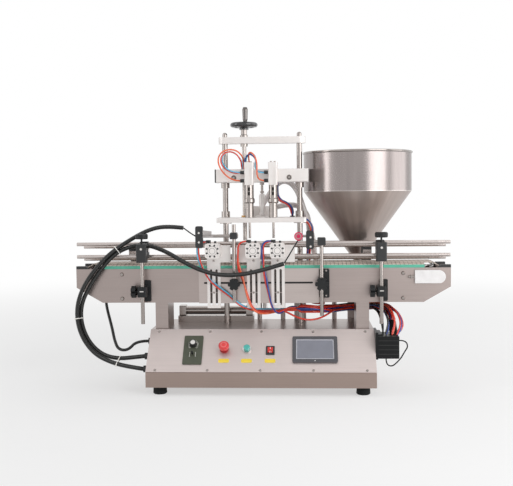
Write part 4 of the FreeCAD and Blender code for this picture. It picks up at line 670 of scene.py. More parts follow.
def speed_knob_finish(s):
    """Black knob with a bright cap and a pale pointer line."""
    cap_radius, cap_off = 7.4 * mm, 12 * mm
    away = s.from_panel_place(dial_x, dial_rise)
    cap = (away < cap_radius) * (s.off > cap_off)
    knob = s.over(black_finish(s), satin(s, seen(216, 214, 210), 0.3, 1.0), cap)
    pointer = (abs(s.x - dial_x) < 0.8 * mm) * (s.rise > dial_rise) * (away > cap_radius)
    return s.mark(knob, pointer, 230, 230, 226)


# Finishes of the conveyor


def front_plate_finish(s):
    """The side plate, with painted shade, a dark patch, where the slotted plate's long slot shows it."""
    slot = s.inside(x=(-182 * mm, 164 * mm), y=(None, -151 * mm), z=(330 * mm, 338 * mm))
    # Painted shade: a dark patch on the plate where the long slot shows it.
    return s.over(plate_finish(s), moulded(s, seen(30, 28, 27), 0.6), slot)


def slotted_finish(s):
    """A lighter sheet, in shade where the stopper brackets' upright slots show it."""
    slot_away, slot_half_width = 8.5 * mm, 4.2 * mm
    slots = s.any_of(abs(abs(s.x - x) - slot_away) < slot_half_width for x in stopper_xs)
    shown = s.inside(y=(None, -154.5 * mm), z=(262 * mm, 379 * mm))
    return s.over(brushed(s, seen(186, 175, 171), 0.34), moulded(s, seen(70, 60, 56), 0.6), slots * shown)


def legs_finish(s):
    """Brushed legs, with polished bars beyond them."""
    bars_start_x = 400 * mm
    return s.over(plate_finish(s), bright_finish(s), abs(s.x) > bars_start_x)


def chain_finish(s):
    """Slats with worn and dirty patches, darker in the joints between them."""
    patches = s.noise((110, 45, 110), 4.0, 0.65)
    specks = s.even_noise(420)
    joint = s.from_middle(s.x / slat_pitch) > 0.4
    slat = moulded(s, colours().chain, 0.5)
    slat.colour = s.tint(colours().chain, patches * 0.7 + specks * 0.35 + 0.5 - joint * 0.35)
    return slat


def strip_finish(s):
    """Green below, and the pale worn edge that the slats run on above."""
    worn_from_z = 388.6 * mm
    worn = moulded(s, colours().chain, 0.5)
    specks = s.noise((170, 60, 170), 3.0, 0.7)
    gap = s.from_middle(s.x / slat_pitch) > 0.4
    worn.colour = s.tint(colours().chain, specks * 0.9 + 0.6 - gap * 0.5)
    return s.over(moulded(s, colours().strip, 0.4), worn, s.z > worn_from_z)


def end_finish(s):
    """Bearings and take-up bolts of steel, nose blocks of black plastic, a white cover."""
    noses = (abs(s.x) > 545 * mm) * (s.z > 377.5 * mm)
    ends = s.over(polished(s, colours().polished, 0.3), black_finish(s), noses)
    cover = s.inside(x=(475.5 * mm, 578 * mm), y=(None, -151.5 * mm), z=(331 * mm, 376 * mm))
    return s.over(ends, moulded(s, seen(236, 234, 234), 0.4), cover)


def motor_finish(s):
    """A cast gear head and a dark can behind it."""
    can_from_y = -3.5 * mm
    return s.over(satin(s, seen(150, 150, 148), 0.5), moulded(s, seen(58, 60, 62), 0.5), s.y > can_from_y)


def stopper_finish(s):
    """Aluminium cylinders with rings of painted shade, darker grey, in the front cover's grooves, dark screws
    in the front cover, and black elbows on top.
    """
    screw_step, screw_circle, screw_radius = math.radians(45), 18.4 * mm, 3.0 * mm
    front_y, elbows_z = -192 * mm, 460.4 * mm
    grooves, screws = [], []
    for x in stopper_xs:
        away = s.from_axis(x=x, z=stopper_z)
        steps = s.angle(s.z - stopper_z, s.x - x) / screw_step
        sideways = s.from_middle(steps + 8.0) * away * screw_step
        grooves += [between(away, 8.6 * mm, 9.8 * mm), between(away, 14.1 * mm, 15.2 * mm)]
        screws.append(distance(sideways, away - screw_circle) < screw_radius)
    # Painted shade: the rings in the cover's grooves are darker grey than the cover.
    body = s.mark(aluminium_finish(s), s.any_of(grooves) * (s.y < front_y), 132, 128, 125)
    body = s.mark(body, s.any_of(screws) * (s.y < front_y), 34, 34, 35)
    return s.over(body, black_finish(s), s.z > elbows_z)


def guard_post_finish(clamp_z, screw_z=None):
    """Polished posts under black clamps, each clamp with a bright screw head at the given height."""

    def finish(s):
        body = s.over(bright_finish(s), black_finish(s), s.z > clamp_z)
        if screw_z is None:
            return body
        return with_screws(s, body, (s.from_axis(x=x, z=screw_z) < 3.6 * mm for x in guard_post_xs))

    return finish


def guard_rail_finish(rail_y, low_z, high_z):
    """Polished rails and cross rods, with black clamps between them."""
    rail_reach, cross_rod_reach = 6.3 * mm, 5.2 * mm

    def finish(s):
        bars = [s.from_axis(y=rail_y, z=z) < rail_reach for z in (low_z, high_z)]
        bars.append(abs(s.z - (low_z + high_z) / 2) < cross_rod_reach)
        # Painted light: the rails use their own lighter copy of the polished steel's colour.
        return s.over(black_finish(s), polished(s, colours().rail, 0.26), s.any_of(bars))

    return finish


def side_clamp_finish(s):
    """Black clamps, each with a bright clamping screw across its front."""
    screw_half_length = 6 * mm
    front = s.inside(y=(None, -186 * mm), z=(310.5 * mm, 313.5 * mm))
    screws = ((abs(s.x - x) < screw_half_length) * front for x in guard_post_xs)
    return with_screws(s, black_finish(s), screws)


def sensor_finish(s):
    """Steel posts and rods, black clamps and plates, a grey reflector and a red sensor."""
    post_y, post_reach = -176 * mm, 6.3 * mm
    rod_zs, rod_y, rod_reach = (483 * mm, 464 * mm), -187 * mm, 5.3 * mm
    eye_x, eye_z, eye_radius = 118 * mm, 481 * mm, 13.3 * mm
    eye_front_y, eye_rear_y = -206 * mm, -202.5 * mm
    reflector = s.inside(x=(-176.5 * mm, -145 * mm), z=(478 * mm, 506 * mm))
    screws = ((-189 * mm, 493 * mm), (-189 * mm, 464 * mm), (155 * mm, 477 * mm), (155 * mm, 449 * mm))
    bars = [s.from_axis(x=x, y=post_y) < post_reach for x in sensor_post_xs]
    bars += [s.from_axis(y=rod_y, z=z) < rod_reach for z in rod_zs]
    body = s.over(black_finish(s), bright_finish(s), s.any_of(bars))
    body = s.over(body, moulded(s, seen(176, 170, 168), 0.4), reflector)
    body = with_screws(s, body, (s.from_axis(x=x, z=z) < 3.2 * mm for x, z in screws))
    away = s.from_axis(x=eye_x, z=eye_z)
    body = s.over(body, moulded(s, seen(206, 34, 84), 0.3), (away < eye_radius) * (s.y > eye_front_y))
    return s.over(body, bright_finish(s), between(away, 6.5 * mm, 9.5 * mm) * (s.y < eye_rear_y))


# Finishes of the filling head


def stem_finish(s):
    """Painted shade, a dark band, where it shows in the windows above the valve, polished below."""
    window_height = 52 * mm
    painted_window_shade = between(s.z, beam_low[2] - window_height, beam_low[2])
    # Painted shade: the stem is dark only where the windows show it.
    return s.over(bright_finish(s), moulded(s, seen(36, 36, 37), 0.4), painted_window_shade)


def lift_finish(s):
    """A satin plate with bright bushes and union ports, a bronze nut, and the black tube clip."""
    plate_low, plate_high, bush_x, nut_radius = 520.6 * mm, 536.4 * mm, 100 * mm, 20 * mm
    ports = s.any_of(((s.z > plate_high) * (abs(s.x) > bush_x), s.z < plate_low))
    nut = (s.from_axis(x=spindle_x, y=spindle_y) < nut_radius) * (s.z > plate_high)
    clip = s.inside(x=(88.5 * mm, 105.5 * mm), y=(1.9 * mm, None))
    body = s.over(aluminium_finish(s), bright_finish(s), ports)
    body = s.over(body, polished(s, seen(176, 140, 92), 0.3), nut)
    return s.over(body, black_finish(s), clip)


def beam_fittings_finish(s):
    """Bright fittings, black left cap, rear fitting and rings round the screws, and a pale right cap."""
    cap_x, screw_xs, screw_z = beam_high[0] - 0.1 * mm, (-89 * mm, 89 * mm), 664 * mm
    heads = s.y < beam_low[1]
    rings = (between(s.from_axis(x=x, z=screw_z), 4.2 * mm, 6.2 * mm) * heads for x in screw_xs)
    black = s.any_of((s.x < -cap_x, s.y > beam_high[1], *rings))
    fittings = s.over(bright_finish(s), black_finish(s), black)
    return s.over(fittings, aluminium_finish(s), s.x > cap_x)


def head_cylinder_finish(s):
    """Aluminium cylinders with a bright rod guide and black fittings on their left."""
    guides_from_z, fittings_to_z = 712.2 * mm, 712 * mm
    fittings = s.any_of(between(s.x, x - 30 * mm, x - 15.2 * mm) for x in head_xs)
    body = s.over(aluminium_finish(s), bright_finish(s), s.z > guides_from_z)
    return s.over(body, black_finish(s), fittings * (s.z < fittings_to_z))


def wheel_finish(s):
    """Glossy black rim, hub and spokes."""
    return moulded(s, seen(34, 35, 36), 0.22)


def handle_finish(s):
    """Dark polished crank handle."""
    return polished(s, seen(112, 108, 106), 0.18)


def spindle_finish(s):
    """Polished thread under a plain collar."""
    collar_z = 776 * mm
    thread = threaded(s, seen(190, 183, 178), spindle_lead, spindle_x, spindle_y)
    return s.over(thread, bright_finish(s), s.z > collar_z)


# Finishes of the hopper, the pump and the valve island


def hopper_finish(s):
    """A polished wall over a cone set lighter as painted light, both with painted reflection bands round
    them, and a bright beaded rim and ferrule.
    """
    rim_height, ferrule_height, seam_half_height = 7 * mm, 26 * mm, 1.2 * mm
    angle = s.angle(s.y - hopper_y, s.x - hopper_x)
    round_it = {0: s.maths("COSINE", angle), 1: s.maths("SINE", angle), 2: s.z * 0.6}
    # Painted reflection: vertical bands of lighter and darker tone round the hopper, placed at random.
    reflection_bands = s.cloud(s.node("ShaderNodeCombineXYZ", {}, round_it), 7.0, 3.0, 0.6)
    wall = brushed(s, colours().hopper, 0.25)
    wall.colour = s.tint(colours().hopper, reflection_bands * 0.35 + 0.82)
    # Painted light: the cone's colour is lighter than the wall's, though both are the same steel.
    cone = brushed(s, colours().cone, 0.34)
    cone.colour = s.tint(colours().cone, reflection_bands * 0.55 + 0.66)
    cone.metal = 0.78
    body = s.over(cone, wall, s.z > hopper_seam_z)
    body = s.mark(body, (abs(s.z - hopper_seam_z) < seam_half_height) * 0.6, 232, 226, 222)
    ends = (s.z > hopper_high[2] - rim_height) + (s.z < hopper_low[2] + ferrule_height)
    return s.over(body, polished(s, colours().polished, 0.16), ends)


def pump_finish(s):
    """Bright barrels and rods on brushed stands and shelf."""
    shelf = s.inside(y=(25 * mm, None), z=(189 * mm, 268.5 * mm))
    return s.over(polished(s, colours().polished, 0.24), plate_finish(s), shelf)


def valve_finish(s):
    """A black valve island with painted highlights, faint pale lines, along the edges between its valves."""
    first_z, last_z, valve_pitch, valves_from_x = 106 * mm, 176 * mm, 13.8 * mm, 359 * mm
    edge = s.from_middle((s.z - first_z) / valve_pitch) > 0.45
    face = s.inside(x=(valves_from_x, None), z=(first_z, last_z))
    # Painted highlight: pale lines where the valves' edges catch the light.
    return s.mark(moulded(s, seen(22, 23, 24), 0.34), edge * face * 0.3, 104, 104, 102)


# Finishes of tubes, cables and trim. An air tube's tone says which colour it has

red, orange, blue, sky, dark = 0.05, 0.25, 0.45, 0.65, 0.9


def air_tube_finish(s):
    """Polyurethane tube: each strand's colour from its tone, a little cloudy."""
    tone = s.attribute("tone")
    cloud = s.even_noise(60, 3.0)
    paints = (
        (red, colours().red_tube), (orange, colours().orange_tube), (blue, colours().blue_tube),
        (sky, colours().sky_tube), (dark, colours().black),
    )
    colour = paints[0][1]
    for (last_tone, _), (next_tone, paint) in zip(paints, paints[1:]):
        colour = s.mix_colour(tone > (last_tone + next_tone) / 2, colour, paint)
    return Finish(s.tint(colour, cloud * 0.3 + 0.85), cloud * 0.14 + 0.2)


def conduit_finish(s):
    """Black nylon with a random dusty tone all over, darker in the grooves and lighter on the crests: painted
    shade and painted highlight.
    """
    groove = s.attribute("groove")
    dust = s.even_noise(80, 4.0)
    # Painted shade and highlight: the tone drops in the grooves between the ribs.
    tone = dust * 0.6 + 0.85 - groove * 0.5
    return Finish(s.tint(colours().conduit, tone), dust * 0.16 + 0.16 + groove * 0.25)


def cable_finish(s):
    """Black rubber jacket, worn lighter in places."""
    wear = s.even_noise(150, 3.0)
    return Finish(s.tint(colours().black, wear * 0.4 + 0.7), wear * 0.2 + 0.3)


def hose_finish(s):
    """Clear silicone hose, milky, with a fine dust inside."""
    milk = s.even_noise(40, 3.0)
    return Finish(s.tint(colours().hose, milk * 0.08 + 0.94), milk * 0.15 + 0.12)


def tie_finish(s):
    """White nylon cable tie."""
    nylon = s.even_noise(300)
    return Finish(s.tint(seen(238, 236, 230), nylon * 0.12 + 0.93), nylon * 0.1 + 0.35)


def label_finish(s):
    """Bare label of matt yellow vinyl."""
    grain = s.even_noise(260)
    return Finish(s.tint(colours().label, grain * 0.16 + 0.92), grain * 0.12 + 0.42)


# Which finish each node of the frame gets, operator by operator

cabinet_dressing = {
    "Brushed cabinet": (cabinet_finish, "base_cabinet"),
    "Feet rubber": (rubber_finish, "rubber_feet"),
}
controls_dressing = {
    "Brushed panel": (panel_finish, "control_panel"),
    "Switch frames": (switch_frame_finish, "switch_frames"),
    "Touch screen": (screen_finish, "touch_screen"),
    "Stop button": (stop_finish, "stop_button"),
    "Start button": (start_finish, "start_button"),
    "Power rocker": (rocker_finish, "power_rocker"),
    "Speed knob": (speed_knob_finish, "speed_knob"),
}
conveyor_dressing = {
    "Front side plate": (front_plate_finish, "front_side_plate"),
    "Side plates": (plate_finish, "rear_side_plate"),
    "Slotted plate": (slotted_finish, "slotted_plate"),
    "Legs and spacers": (legs_finish, "conveyor_legs"),
    "Slats": (chain_finish, "slat_chain"),
    "Wear strips": (strip_finish, "wear_strips"),
    "Conveyor ends": (end_finish, "end_fittings"),
    "Gear motor": (motor_finish, "gear_motor"),
}
stoppers_dressing = {
    "Stopper cylinders": (stopper_finish, "stopper_cylinders"),
    "Sensor stands": (sensor_finish, "sensor_stands"),
}
guards_dressing = {
    "Front guard posts": (guard_post_finish(401.7 * mm, 444 * mm), "front_guard_posts"),
    "Rear guard posts": (guard_post_finish(388.7 * mm), "rear_guard_posts"),
    "Front guard rails": (guard_rail_finish(-132 * mm, 417 * mm, 457 * mm), "front_guard_rails"),
    "Rear guard rails": (guard_rail_finish(-50 * mm, 404 * mm, 444 * mm), "rear_guard_rails"),
    "Side clamps": (side_clamp_finish, "side_clamps"),
    "Black plastic": (
        black_finish, "height_knob_left", "height_knob_right", "star_knob_left", "star_knob_right",
        "head_knob_left", "head_knob_right", "run_lever",
    ),
}
head_dressing = {
    "Polished steel": (
        bright_finish, "panel_screws", "drive_shaft", "idler_shaft", "stopper_rod_left",
        "stopper_rod_middle", "stopper_rod_right", "columns", "filling_valves",
    ),
    "Valve stems": (stem_finish, "valve_stem_left", "valve_stem_right"),
    "Satin aluminium": (
        aluminium_finish, "top_bar", "beam", "stopper_brackets", "pump_yoke", "dive_cylinder",
    ),
    "Lift plate": (lift_finish, "lift_plate"),
    "Beam fittings": (beam_fittings_finish, "beam_fittings"),
    "Head cylinders": (head_cylinder_finish, "head_cylinders"),
    "Handwheel": (wheel_finish, "handwheel"),
    "Wheel handle": (handle_finish, "wheel_handle"),
    "Spindle thread": (spindle_finish, "spindle"),
}
pump_dressing = {
    "Hopper": (hopper_finish, "hopper"),
    "Metering pump": (pump_finish, "metering_pump"),
    "Valve island": (valve_finish, "valve_block"),
}
dull_blacks = {"Black plastic": 0.25, "Side clamps": 0.25, "Valve island": 0.2, "Feet rubber": 0.2}
glossy_coats = {
    "Handwheel": 0.6, "Stop button": 0.5, "Start button": 0.5, "Power rocker": 0.5, "Touch screen": 0.8,
}


def made_of(name, finish, coat=0.0, transmission=0.0, specular=0.5):
    """A material with one finish."""
    shade = Shade(name)
    return shade.done(finish(shade), coat, transmission, specular)


def dress(dressing):
    """Give each finish's nodes a material made of it."""
    for name, (finish, *nodes) in dressing.items():
        coat, specular = glossy_coats.get(name, 0.0), dull_blacks.get(name, 0.5)
        material = made_of(name, finish, coat, specular=specular)
        for node in nodes:
            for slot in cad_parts[node].material_slots:
                slot.material = material


# Routes and tubes


def smooth_route(points):
    """Points along the curve that has the route's points as its control points."""
    line = bpy.data.curves.new("route", "CURVE")
    line.dimensions = "3D"
    spline = line.splines.new("NURBS")
    spline.points.add(len(points) - 1)
    spline.points.foreach_set("co", np.c_[points, np.ones(len(points))].ravel())
    spline.order_u = 3
    spline.use_endpoint_u = True
    spline.resolution_u = 12
    carrier = bpy.data.objects.new("route", line)
    mesh = bpy.data.meshes.new_from_object(carrier)
    places = np.empty(len(mesh.vertices) * 3)
    mesh.vertices.foreach_get("co", places)
    bpy.data.objects.remove(carrier)
    bpy.data.meshes.remove(mesh)
    bpy.data.curves.remove(line)
    return places.reshape(-1, 3)


def length_along(path):
    """Length from the first point to each point of a path."""
    return np.r_[0.0, np.cumsum(np.linalg.norm(np.diff(path, axis=0), axis=1))]


def even_steps(path, step):
    """The same path with stations about one step apart, and each station's length along it."""
    along = length_along(path)
    stations = np.linspace(0.0, along[-1], max(int(round(along[-1] / step)), 4) + 1)
    return np.c_[tuple(np.interp(stations, along, path[:, i]) for i in range(3))], stations


def carried_frame(path):
    """Unit vectors along the path and two across it, turned as little as possible from station to station.

    Each station's first cross vector is the one before it, less its part along the new direction.
    """
    along = np.gradient(path, axis=0)
    along /= np.linalg.norm(along, axis=1)[:, None]
    side = np.empty_like(along)
    start = np.eye(3)[np.argmin(abs(along[0]))]
    for i, direction in enumerate(along):
        start = start - direction * (start @ direction)
        start = start / np.linalg.norm(start)
        side[i] = start
    return along, side, np.cross(along, side)


def mesh_object(name, places, faces, smooth=True):
    """A mesh piece from its points and the faces between them."""
    mesh = bpy.data.meshes.new(name)
    mesh.from_pydata(places.reshape(-1, 3).tolist(), [], faces)
    mesh.validate()
    mesh.polygons.foreach_set("use_smooth", np.full(len(mesh.polygons), smooth))
    made = bpy.data.objects.new(name, mesh)
    bpy.context.collection.objects.link(made)
    return made


def add_attribute(made, name, values):
    """Let the mesh carry a number at each of its points."""
    made.data.attributes.new(name, "FLOAT", "POINT").data.foreach_set("value", values)


def ring_turns(sides):
    """Angles of points evenly round a ring."""
    return np.linspace(0.0, math.tau, sides, endpoint=False)


def grid_faces(rows, columns, first=0):
    """Quads of a tube whose rows are rings of the given number of columns."""
    r, c = np.meshgrid(np.arange(rows - 1), np.arange(columns), indexing="ij")
    a = r * columns + c
    b = r * columns + (c + 1) % columns
    return (np.stack([a, b, b + columns, a + columns], axis=-1).reshape(-1, 4) + first).tolist()


def tube_faces(rows, sides, first=0):
    """Quads of a tube and a flat face over each of its ends."""
    low_end = list(range(first + sides - 1, first - 1, -1))
    high_end = list(range(first + (rows - 1) * sides, first + rows * sides))
    return grid_faces(rows, sides, first) + [low_end, high_end]


def tube_shape(path, radius, sides):
    """Rings round the path: centre + radius × (cosine across, sine the other way across).

    The radius is one value or one for each station.
    """
    _, across, over = carried_frame(path)
    turn = ring_turns(sides)[None, :, None]
    wide = np.broadcast_to(np.asarray(radius, dtype=float), (len(path),))[:, None, None]
    return path[:, None, :] + wide * (np.cos(turn) * across[:, None] + np.sin(turn) * over[:, None])


def conduit(name, route, diameter, pitch, depth, sides=18):
    """Corrugated tube: its radius goes between the crest and the groove with the length along it.

    radius = crest − depth × (0.5 − 0.5 × cosine of length over pitch) to the power 1.5.
    """
    stations_a_rib = 5
    path, stations = even_steps(smooth_route(route), pitch / stations_a_rib)
    wave = (0.5 - 0.5 * np.cos(math.tau * stations / pitch)) ** 1.5
    places = tube_shape(path, diameter / 2 - depth * wave, sides)
    made = mesh_object(name, places, tube_faces(len(path), sides))
    add_attribute(made, "groove", np.repeat(wave, sides))
    return made, path


def cable(name, route, diameter, step=2 * mm, sides=12):
    """A round cable along its route."""
    path, _ = even_steps(smooth_route(route), step)
    return mesh_object(name, tube_shape(path, diameter / 2, sides), tube_faces(len(path), sides)), path


def strands_round(tones, offset, radius, start=0.0, turns=0.0, wander=0.0, more_wander=0.0):
    """Strands spread evenly round a bundle, one for each tone, each wandering more than the one before."""
    return [
        (offset, start + math.tau * i / len(tones), turns, wander + more_wander * i, radius, tone)
        for i, tone in enumerate(tones)
    ]


def bundle_of_tubes(name, route, strands, step, sides):
    """Several tubes along one path, each offset from it by its own slowly turning vector.

    strands are (offset, start angle, turns over the length, wander, radius, tone). The angle is start + turns
    × length + wander × a sine, and the offset swells by a tenth with another sine. It grows from a quarter
    over the first and last 12 mm, so that all tubes leave and enter one fitting.
    """
    gather_length = 12 * mm
    path, stations = even_steps(smooth_route(route), step)
    _, across, over = carried_frame(path)
    share = stations / stations[-1]
    ease = np.clip(np.minimum(stations, stations[-1] - stations) / gather_length, 0.25, 1.0)
    places, faces, tones = [], [], []
    for offset, start, turns, wander, radius, tone in strands:
        angle = start + math.tau * turns * share + wander * np.sin(math.tau * (1.7 * share + start))
        reach = offset * ease * (1 + 0.12 * np.sin(math.tau * (2.6 * share + 0.37 * start)))
        centre = path + reach[:, None] * (np.cos(angle)[:, None] * across + np.sin(angle)[:, None] * over)
        faces += tube_faces(len(path), sides, len(path) * sides * len(places))
        places.append(tube_shape(centre, radius, sides))
        tones.append(np.full(len(path) * sides, tone))
    made = mesh_object(name, np.concatenate(places), faces)
    add_attribute(made, "tone", np.concatenate(tones))
    return made, path


def hollow_tube(name, path, diameter, wall, step=3 * mm, sides=16):
    """A hose: rings of the outer radius out along the path, then rings of the bore back again.

    The last ring joins the first one, so the mesh is closed at both ends.
    """
    path, _ = even_steps(path, step)
    outer = tube_shape(path, diameter / 2, sides)
    bore = tube_shape(path, diameter / 2 - wall, sides)
    rows = 2 * len(path)
    first = np.arange(sides)
    last = (rows - 1) * sides + first
    closing = np.stack([last, np.roll(last, -1), np.roll(first, -1), first], axis=-1).tolist()
    return mesh_object(name, np.concatenate([outer, bore[::-1]]), grid_faces(rows, sides) + closing)


def rounded_plate(name, x, rise, width, height, thick):
    """A thin plate on the control panel: rings of a rounded rectangle, the upper ones drawn in.

    Outline = half size over the sixth root of the sum of the sixth powers of cosine and sine.
    """
    sides = 48
    ring_sizes = np.array([1.0, 1.0, 0.985, 0.95])[:, None]
    ring_heights = np.array([0.02, 0.6, 0.9, 1.0])[:, None]
    turn = ring_turns(sides)[None, :]
    outline = ring_sizes * (abs(np.cos(turn)) ** 6 + abs(np.sin(turn)) ** 6) ** (-1 / 6)
    across = x + outline * np.cos(turn) * width / 2
    up = rise + outline * np.sin(turn) * height / 2
    high = panel_sheet + thick * ring_heights
    front = fold_y + up * math.cos(panel_angle) - high * math.sin(panel_angle)
    over = fold_z + up * math.sin(panel_angle) + high * math.cos(panel_angle)
    faces = tube_faces(len(ring_sizes), sides)
    return mesh_object(name, np.stack([across, front, over], axis=-1), faces, smooth=False)


def pair_tie(name, path, other, at, radius, width, thick):
    """A cable tie: a closed band round two paths, with its lock as a small rounded block on it.

    Band = a rounded rectangle carried round a circle whose halves are drawn apart, half the way between the
    paths each, by the hyperbolic tangent of six cosines. Lock = the same band's outer side, raised by a
    smooth hump over a short part of the turn.
    """
    sides, rows = 8, 64
    lock_rise, lock_half_turn = 2.2, 0.22
    i = int(at * (len(path) - 1))
    along = path[i + 1] - path[i - 1]
    along /= np.linalg.norm(along)
    apart = other[np.argmin(np.linalg.norm(other - path[i], axis=1))] - path[i]
    apart -= along * (apart @ along)
    across = apart / np.linalg.norm(apart)
    over = np.cross(along, across)
    turn = ring_turns(rows)[:, None]
    around = ring_turns(sides)[None, :]
    hump = 1.0 + lock_rise * np.exp(-((turn - math.pi) / lock_half_turn) ** 4)
    square = 1.0 / np.maximum(abs(np.cos(around)), abs(np.sin(around))) ** 0.7
    high = thick / 2 * np.cos(around) * square * hump + thick / 2 * (hump - 1)
    wide = width / 2 * np.sin(around) * square * (0.6 + 0.4 * hump)
    reach = radius + thick / 2 + high
    drawn = np.tanh(6 * np.cos(turn)) / 2
    places = (
        path[i] + apart / 2 + drawn[..., None] * apart + wide[..., None] * along
        + reach[..., None] * (np.cos(turn)[..., None] * across + np.sin(turn)[..., None] * over)
    )
    r, c = np.meshgrid(np.arange(rows), np.arange(sides), indexing="ij")
    after, beside = (r + 1) % rows * sides, (c + 1) % sides
    faces = np.stack([r * sides + c, after + c, after + beside, r * sides + beside], axis=-1)
    return mesh_object(name, places, faces.reshape(-1, 4).tolist())


def bend(body, next_body, start, end):
    """Both bodies of a piece between two bodies, and the two places between which it bends."""
    return body, next_body, tuple(map(float, start)), tuple(map(float, end))


def fasten(made, holder, slot, material, *nodes):
    """Give a piece its material and let it stand for nodes of the frame; a piece of one body is fixed to it,
    another has its place baked into its points.

    The holder is one body's name, or what bend says for a piece between two bodies.
    """
    made.data.materials.append(material)
    if isinstance(holder, str):
        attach(made, holder)
    else:
        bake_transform(made)
    if nodes:
        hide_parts(*nodes)
    return made


def lay_air_tubes(name, route, strands, width, holder, skin, *nodes, step=4 * mm, sides=10):
    """Lay air tubes along one route, alone or bundled."""
    made, path = bundle_of_tubes(name, route, strands, step, sides)
    fasten(made, holder, "blue_tube", skin, *nodes)


# Operators


class FILLER_OT_stage(bpy.types.Operator):
    """Set up the floor, the soft light and the camera"""

    bl_idname = "filler.stage"
    bl_label = "Stage"

    def execute(self, context):
        stage = context.scene.filler_stage
        context.scene.view_settings.view_transform = "Standard"
        self.world(stage)
        self.floor(stage)
        self.lamps(stage)
        self.camera()
        return {"FINISHED"}

    def world(self, stage):
        """White where it is seen directly, and the room's soft light for all else."""
        world = bpy.data.worlds.new("Studio")
        world.use_nodes = True
        tree = Nodes(world.node_tree)
        light = tree.seen_directly() * (1.0 - stage.room) + stage.room
        back = tree.node("ShaderNodeBackground", {}, {"Color": (1, 1, 1), "Strength": light})
        tree.node("ShaderNodeOutputWorld", {}, {"Surface": back})
        bpy.context.scene.world = world

    def floor(self, stage):
        """A pale floor that takes shadows near the machine and goes over into white further off."""
        half = stage.floor_half
        pale = (0.86, 0.86, 0.86)
        fade_start, fade_length, fade_round, least_glow = 0.9, 2.5, 0.3, 0.5
        corners = np.array([(-half, -half, 0), (half, -half, 0), (half, half, 0), (-half, half, 0)])
        floor = mesh_object("Studio_floor", corners, [(0, 1, 2, 3)], smooth=False)
        s = Shade("Pale floor")
        grain = s.even_noise(3)
        paint = s.node("ShaderNodeBsdfDiffuse", {}, {"Color": s.tint(pale, grain * 0.02 + 0.99)})
        glow = s.node("ShaderNodeEmission", {}, {"Color": (1, 1, 1), "Strength": 1.0})
        away = s.maths("MAXIMUM", s.from_axis(x=0.0, y=0.0) - fade_start, 0.0)
        far = s.maths("SMOOTH_MIN", away / fade_length, 1.0, fade_round)
        share = s.seen_directly() * (far * (1.0 - least_glow) + least_glow)
        mixed = s.node("ShaderNodeMixShader", {}, {0: share, 1: paint, 2: glow})
        s.node("ShaderNodeOutputMaterial", {}, {"Surface": mixed})
        floor.data.materials.append(s.material)

    def lamps(self, stage):
        """Softboxes, each turned to the middle of the machine."""
        aim = Vector((0.0, -0.05, 0.45))
        for name, place, width, height, power in (
            ("Right softbox", (1.9, -2.0, 1.25), 1.8, 2.4, stage.side_lamp),
            ("Left softbox", (-2.3, -0.9, 1.2), 0.6, 2.4, stage.side_lamp * 0.34),
            ("Far right softbox", (2.9, 0.2, 1.2), 2.2, 2.4, stage.side_lamp * 0.62),
            ("Top softbox", (0.2, 1.0, 2.7), 2.4, 1.2, stage.top_lamp),
        ):
            light = bpy.data.lights.new(name, "AREA")
            light.shape = "RECTANGLE"
            light.size = width
            light.size_y = height
            light.energy = power
            lamp = bpy.data.objects.new(name, light)
            lamp.location = place
            lamp.rotation_euler = (aim - Vector(place)).to_track_quat("-Z", "Y").to_euler()
            bpy.context.collection.objects.link(lamp)

    def camera(self):
        """The camera that was fitted to the photograph: its place in metres and its turns in radians."""
        place = Vector((0.13804, -2.6554, 0.6022))
        yaw, pitch, roll = 0.0604, 0.0572, -0.0107
        lens, sensor_width = 56.43, 36.0
        ahead = Vector((-math.sin(yaw) * math.cos(pitch), math.cos(yaw) * math.cos(pitch), -math.sin(pitch)))
        right = Vector((math.cos(yaw), math.sin(yaw), 0.0))
        up = right.cross(ahead)
        across = right * math.cos(roll) + up * math.sin(roll)
        over = up * math.cos(roll) - right * math.sin(roll)
        camera = bpy.data.objects.new("Camera", bpy.data.cameras.new("Camera"))
        camera.data.sensor_width = sensor_width
        camera.data.lens = lens
        turn = Matrix((across, over, -ahead)).transposed()
        camera.matrix_world = Matrix.Translation(place) @ turn.to_4x4()
        bpy.context.collection.objects.link(camera)
        bpy.context.scene.camera = camera


class FILLER_OT_conduits(bpy.types.Operator):
    """Lay the corrugated conduits with their ties, and the thin sensor and valve cables"""

    bl_idname = "filler.conduits"
    bl_label = "Conduits and cables"

    def execute(self, context):
        tubes = context.scene.filler_tubes
        ribbed = made_of("Ribbed conduit", conduit_finish, coat=0.25, specular=0.3)
        white = made_of("Nylon tie", tie_finish)
        jacket = made_of("Cable jacket", cable_finish, specular=0.2)
        beside = smooth_route(conduit_b_route)
        tie_thick = 1.2 * mm
        for name, route, diameter, ties in (
            ("Conduit_a", conduit_a_route, conduit_width, (0.11, 0.37, 0.705)),
            ("Conduit_b", conduit_b_route, conduit_width, ()),
            ("Conduit_c", conduit_c_route, thin_conduit_width, ()),
        ):
            made, path = conduit(name, route, diameter, tubes.rib_pitch, tubes.rib_depth)
            fasten(made, "frame", "rubber_black", ribbed, "cable_conduits")
            for i, at in enumerate(ties):
                band = pair_tie(f"Tie_{i + 1}", path, beside, at, diameter / 2, tubes.tie_width, tie_thick)
                fasten(band, "frame", "pale_plastic", white)
        for name, route in (
            ("Left_sensor_cable", left_sensor_route),
            ("Right_sensor_cable", right_sensor_route),
            ("Valve_cable", valve_cable_route),
        ):
            made, path = cable(name, route, cable_width)
            fasten(made, "frame", "rubber_black", jacket, "frame_tubes")
        return {"FINISHED"}


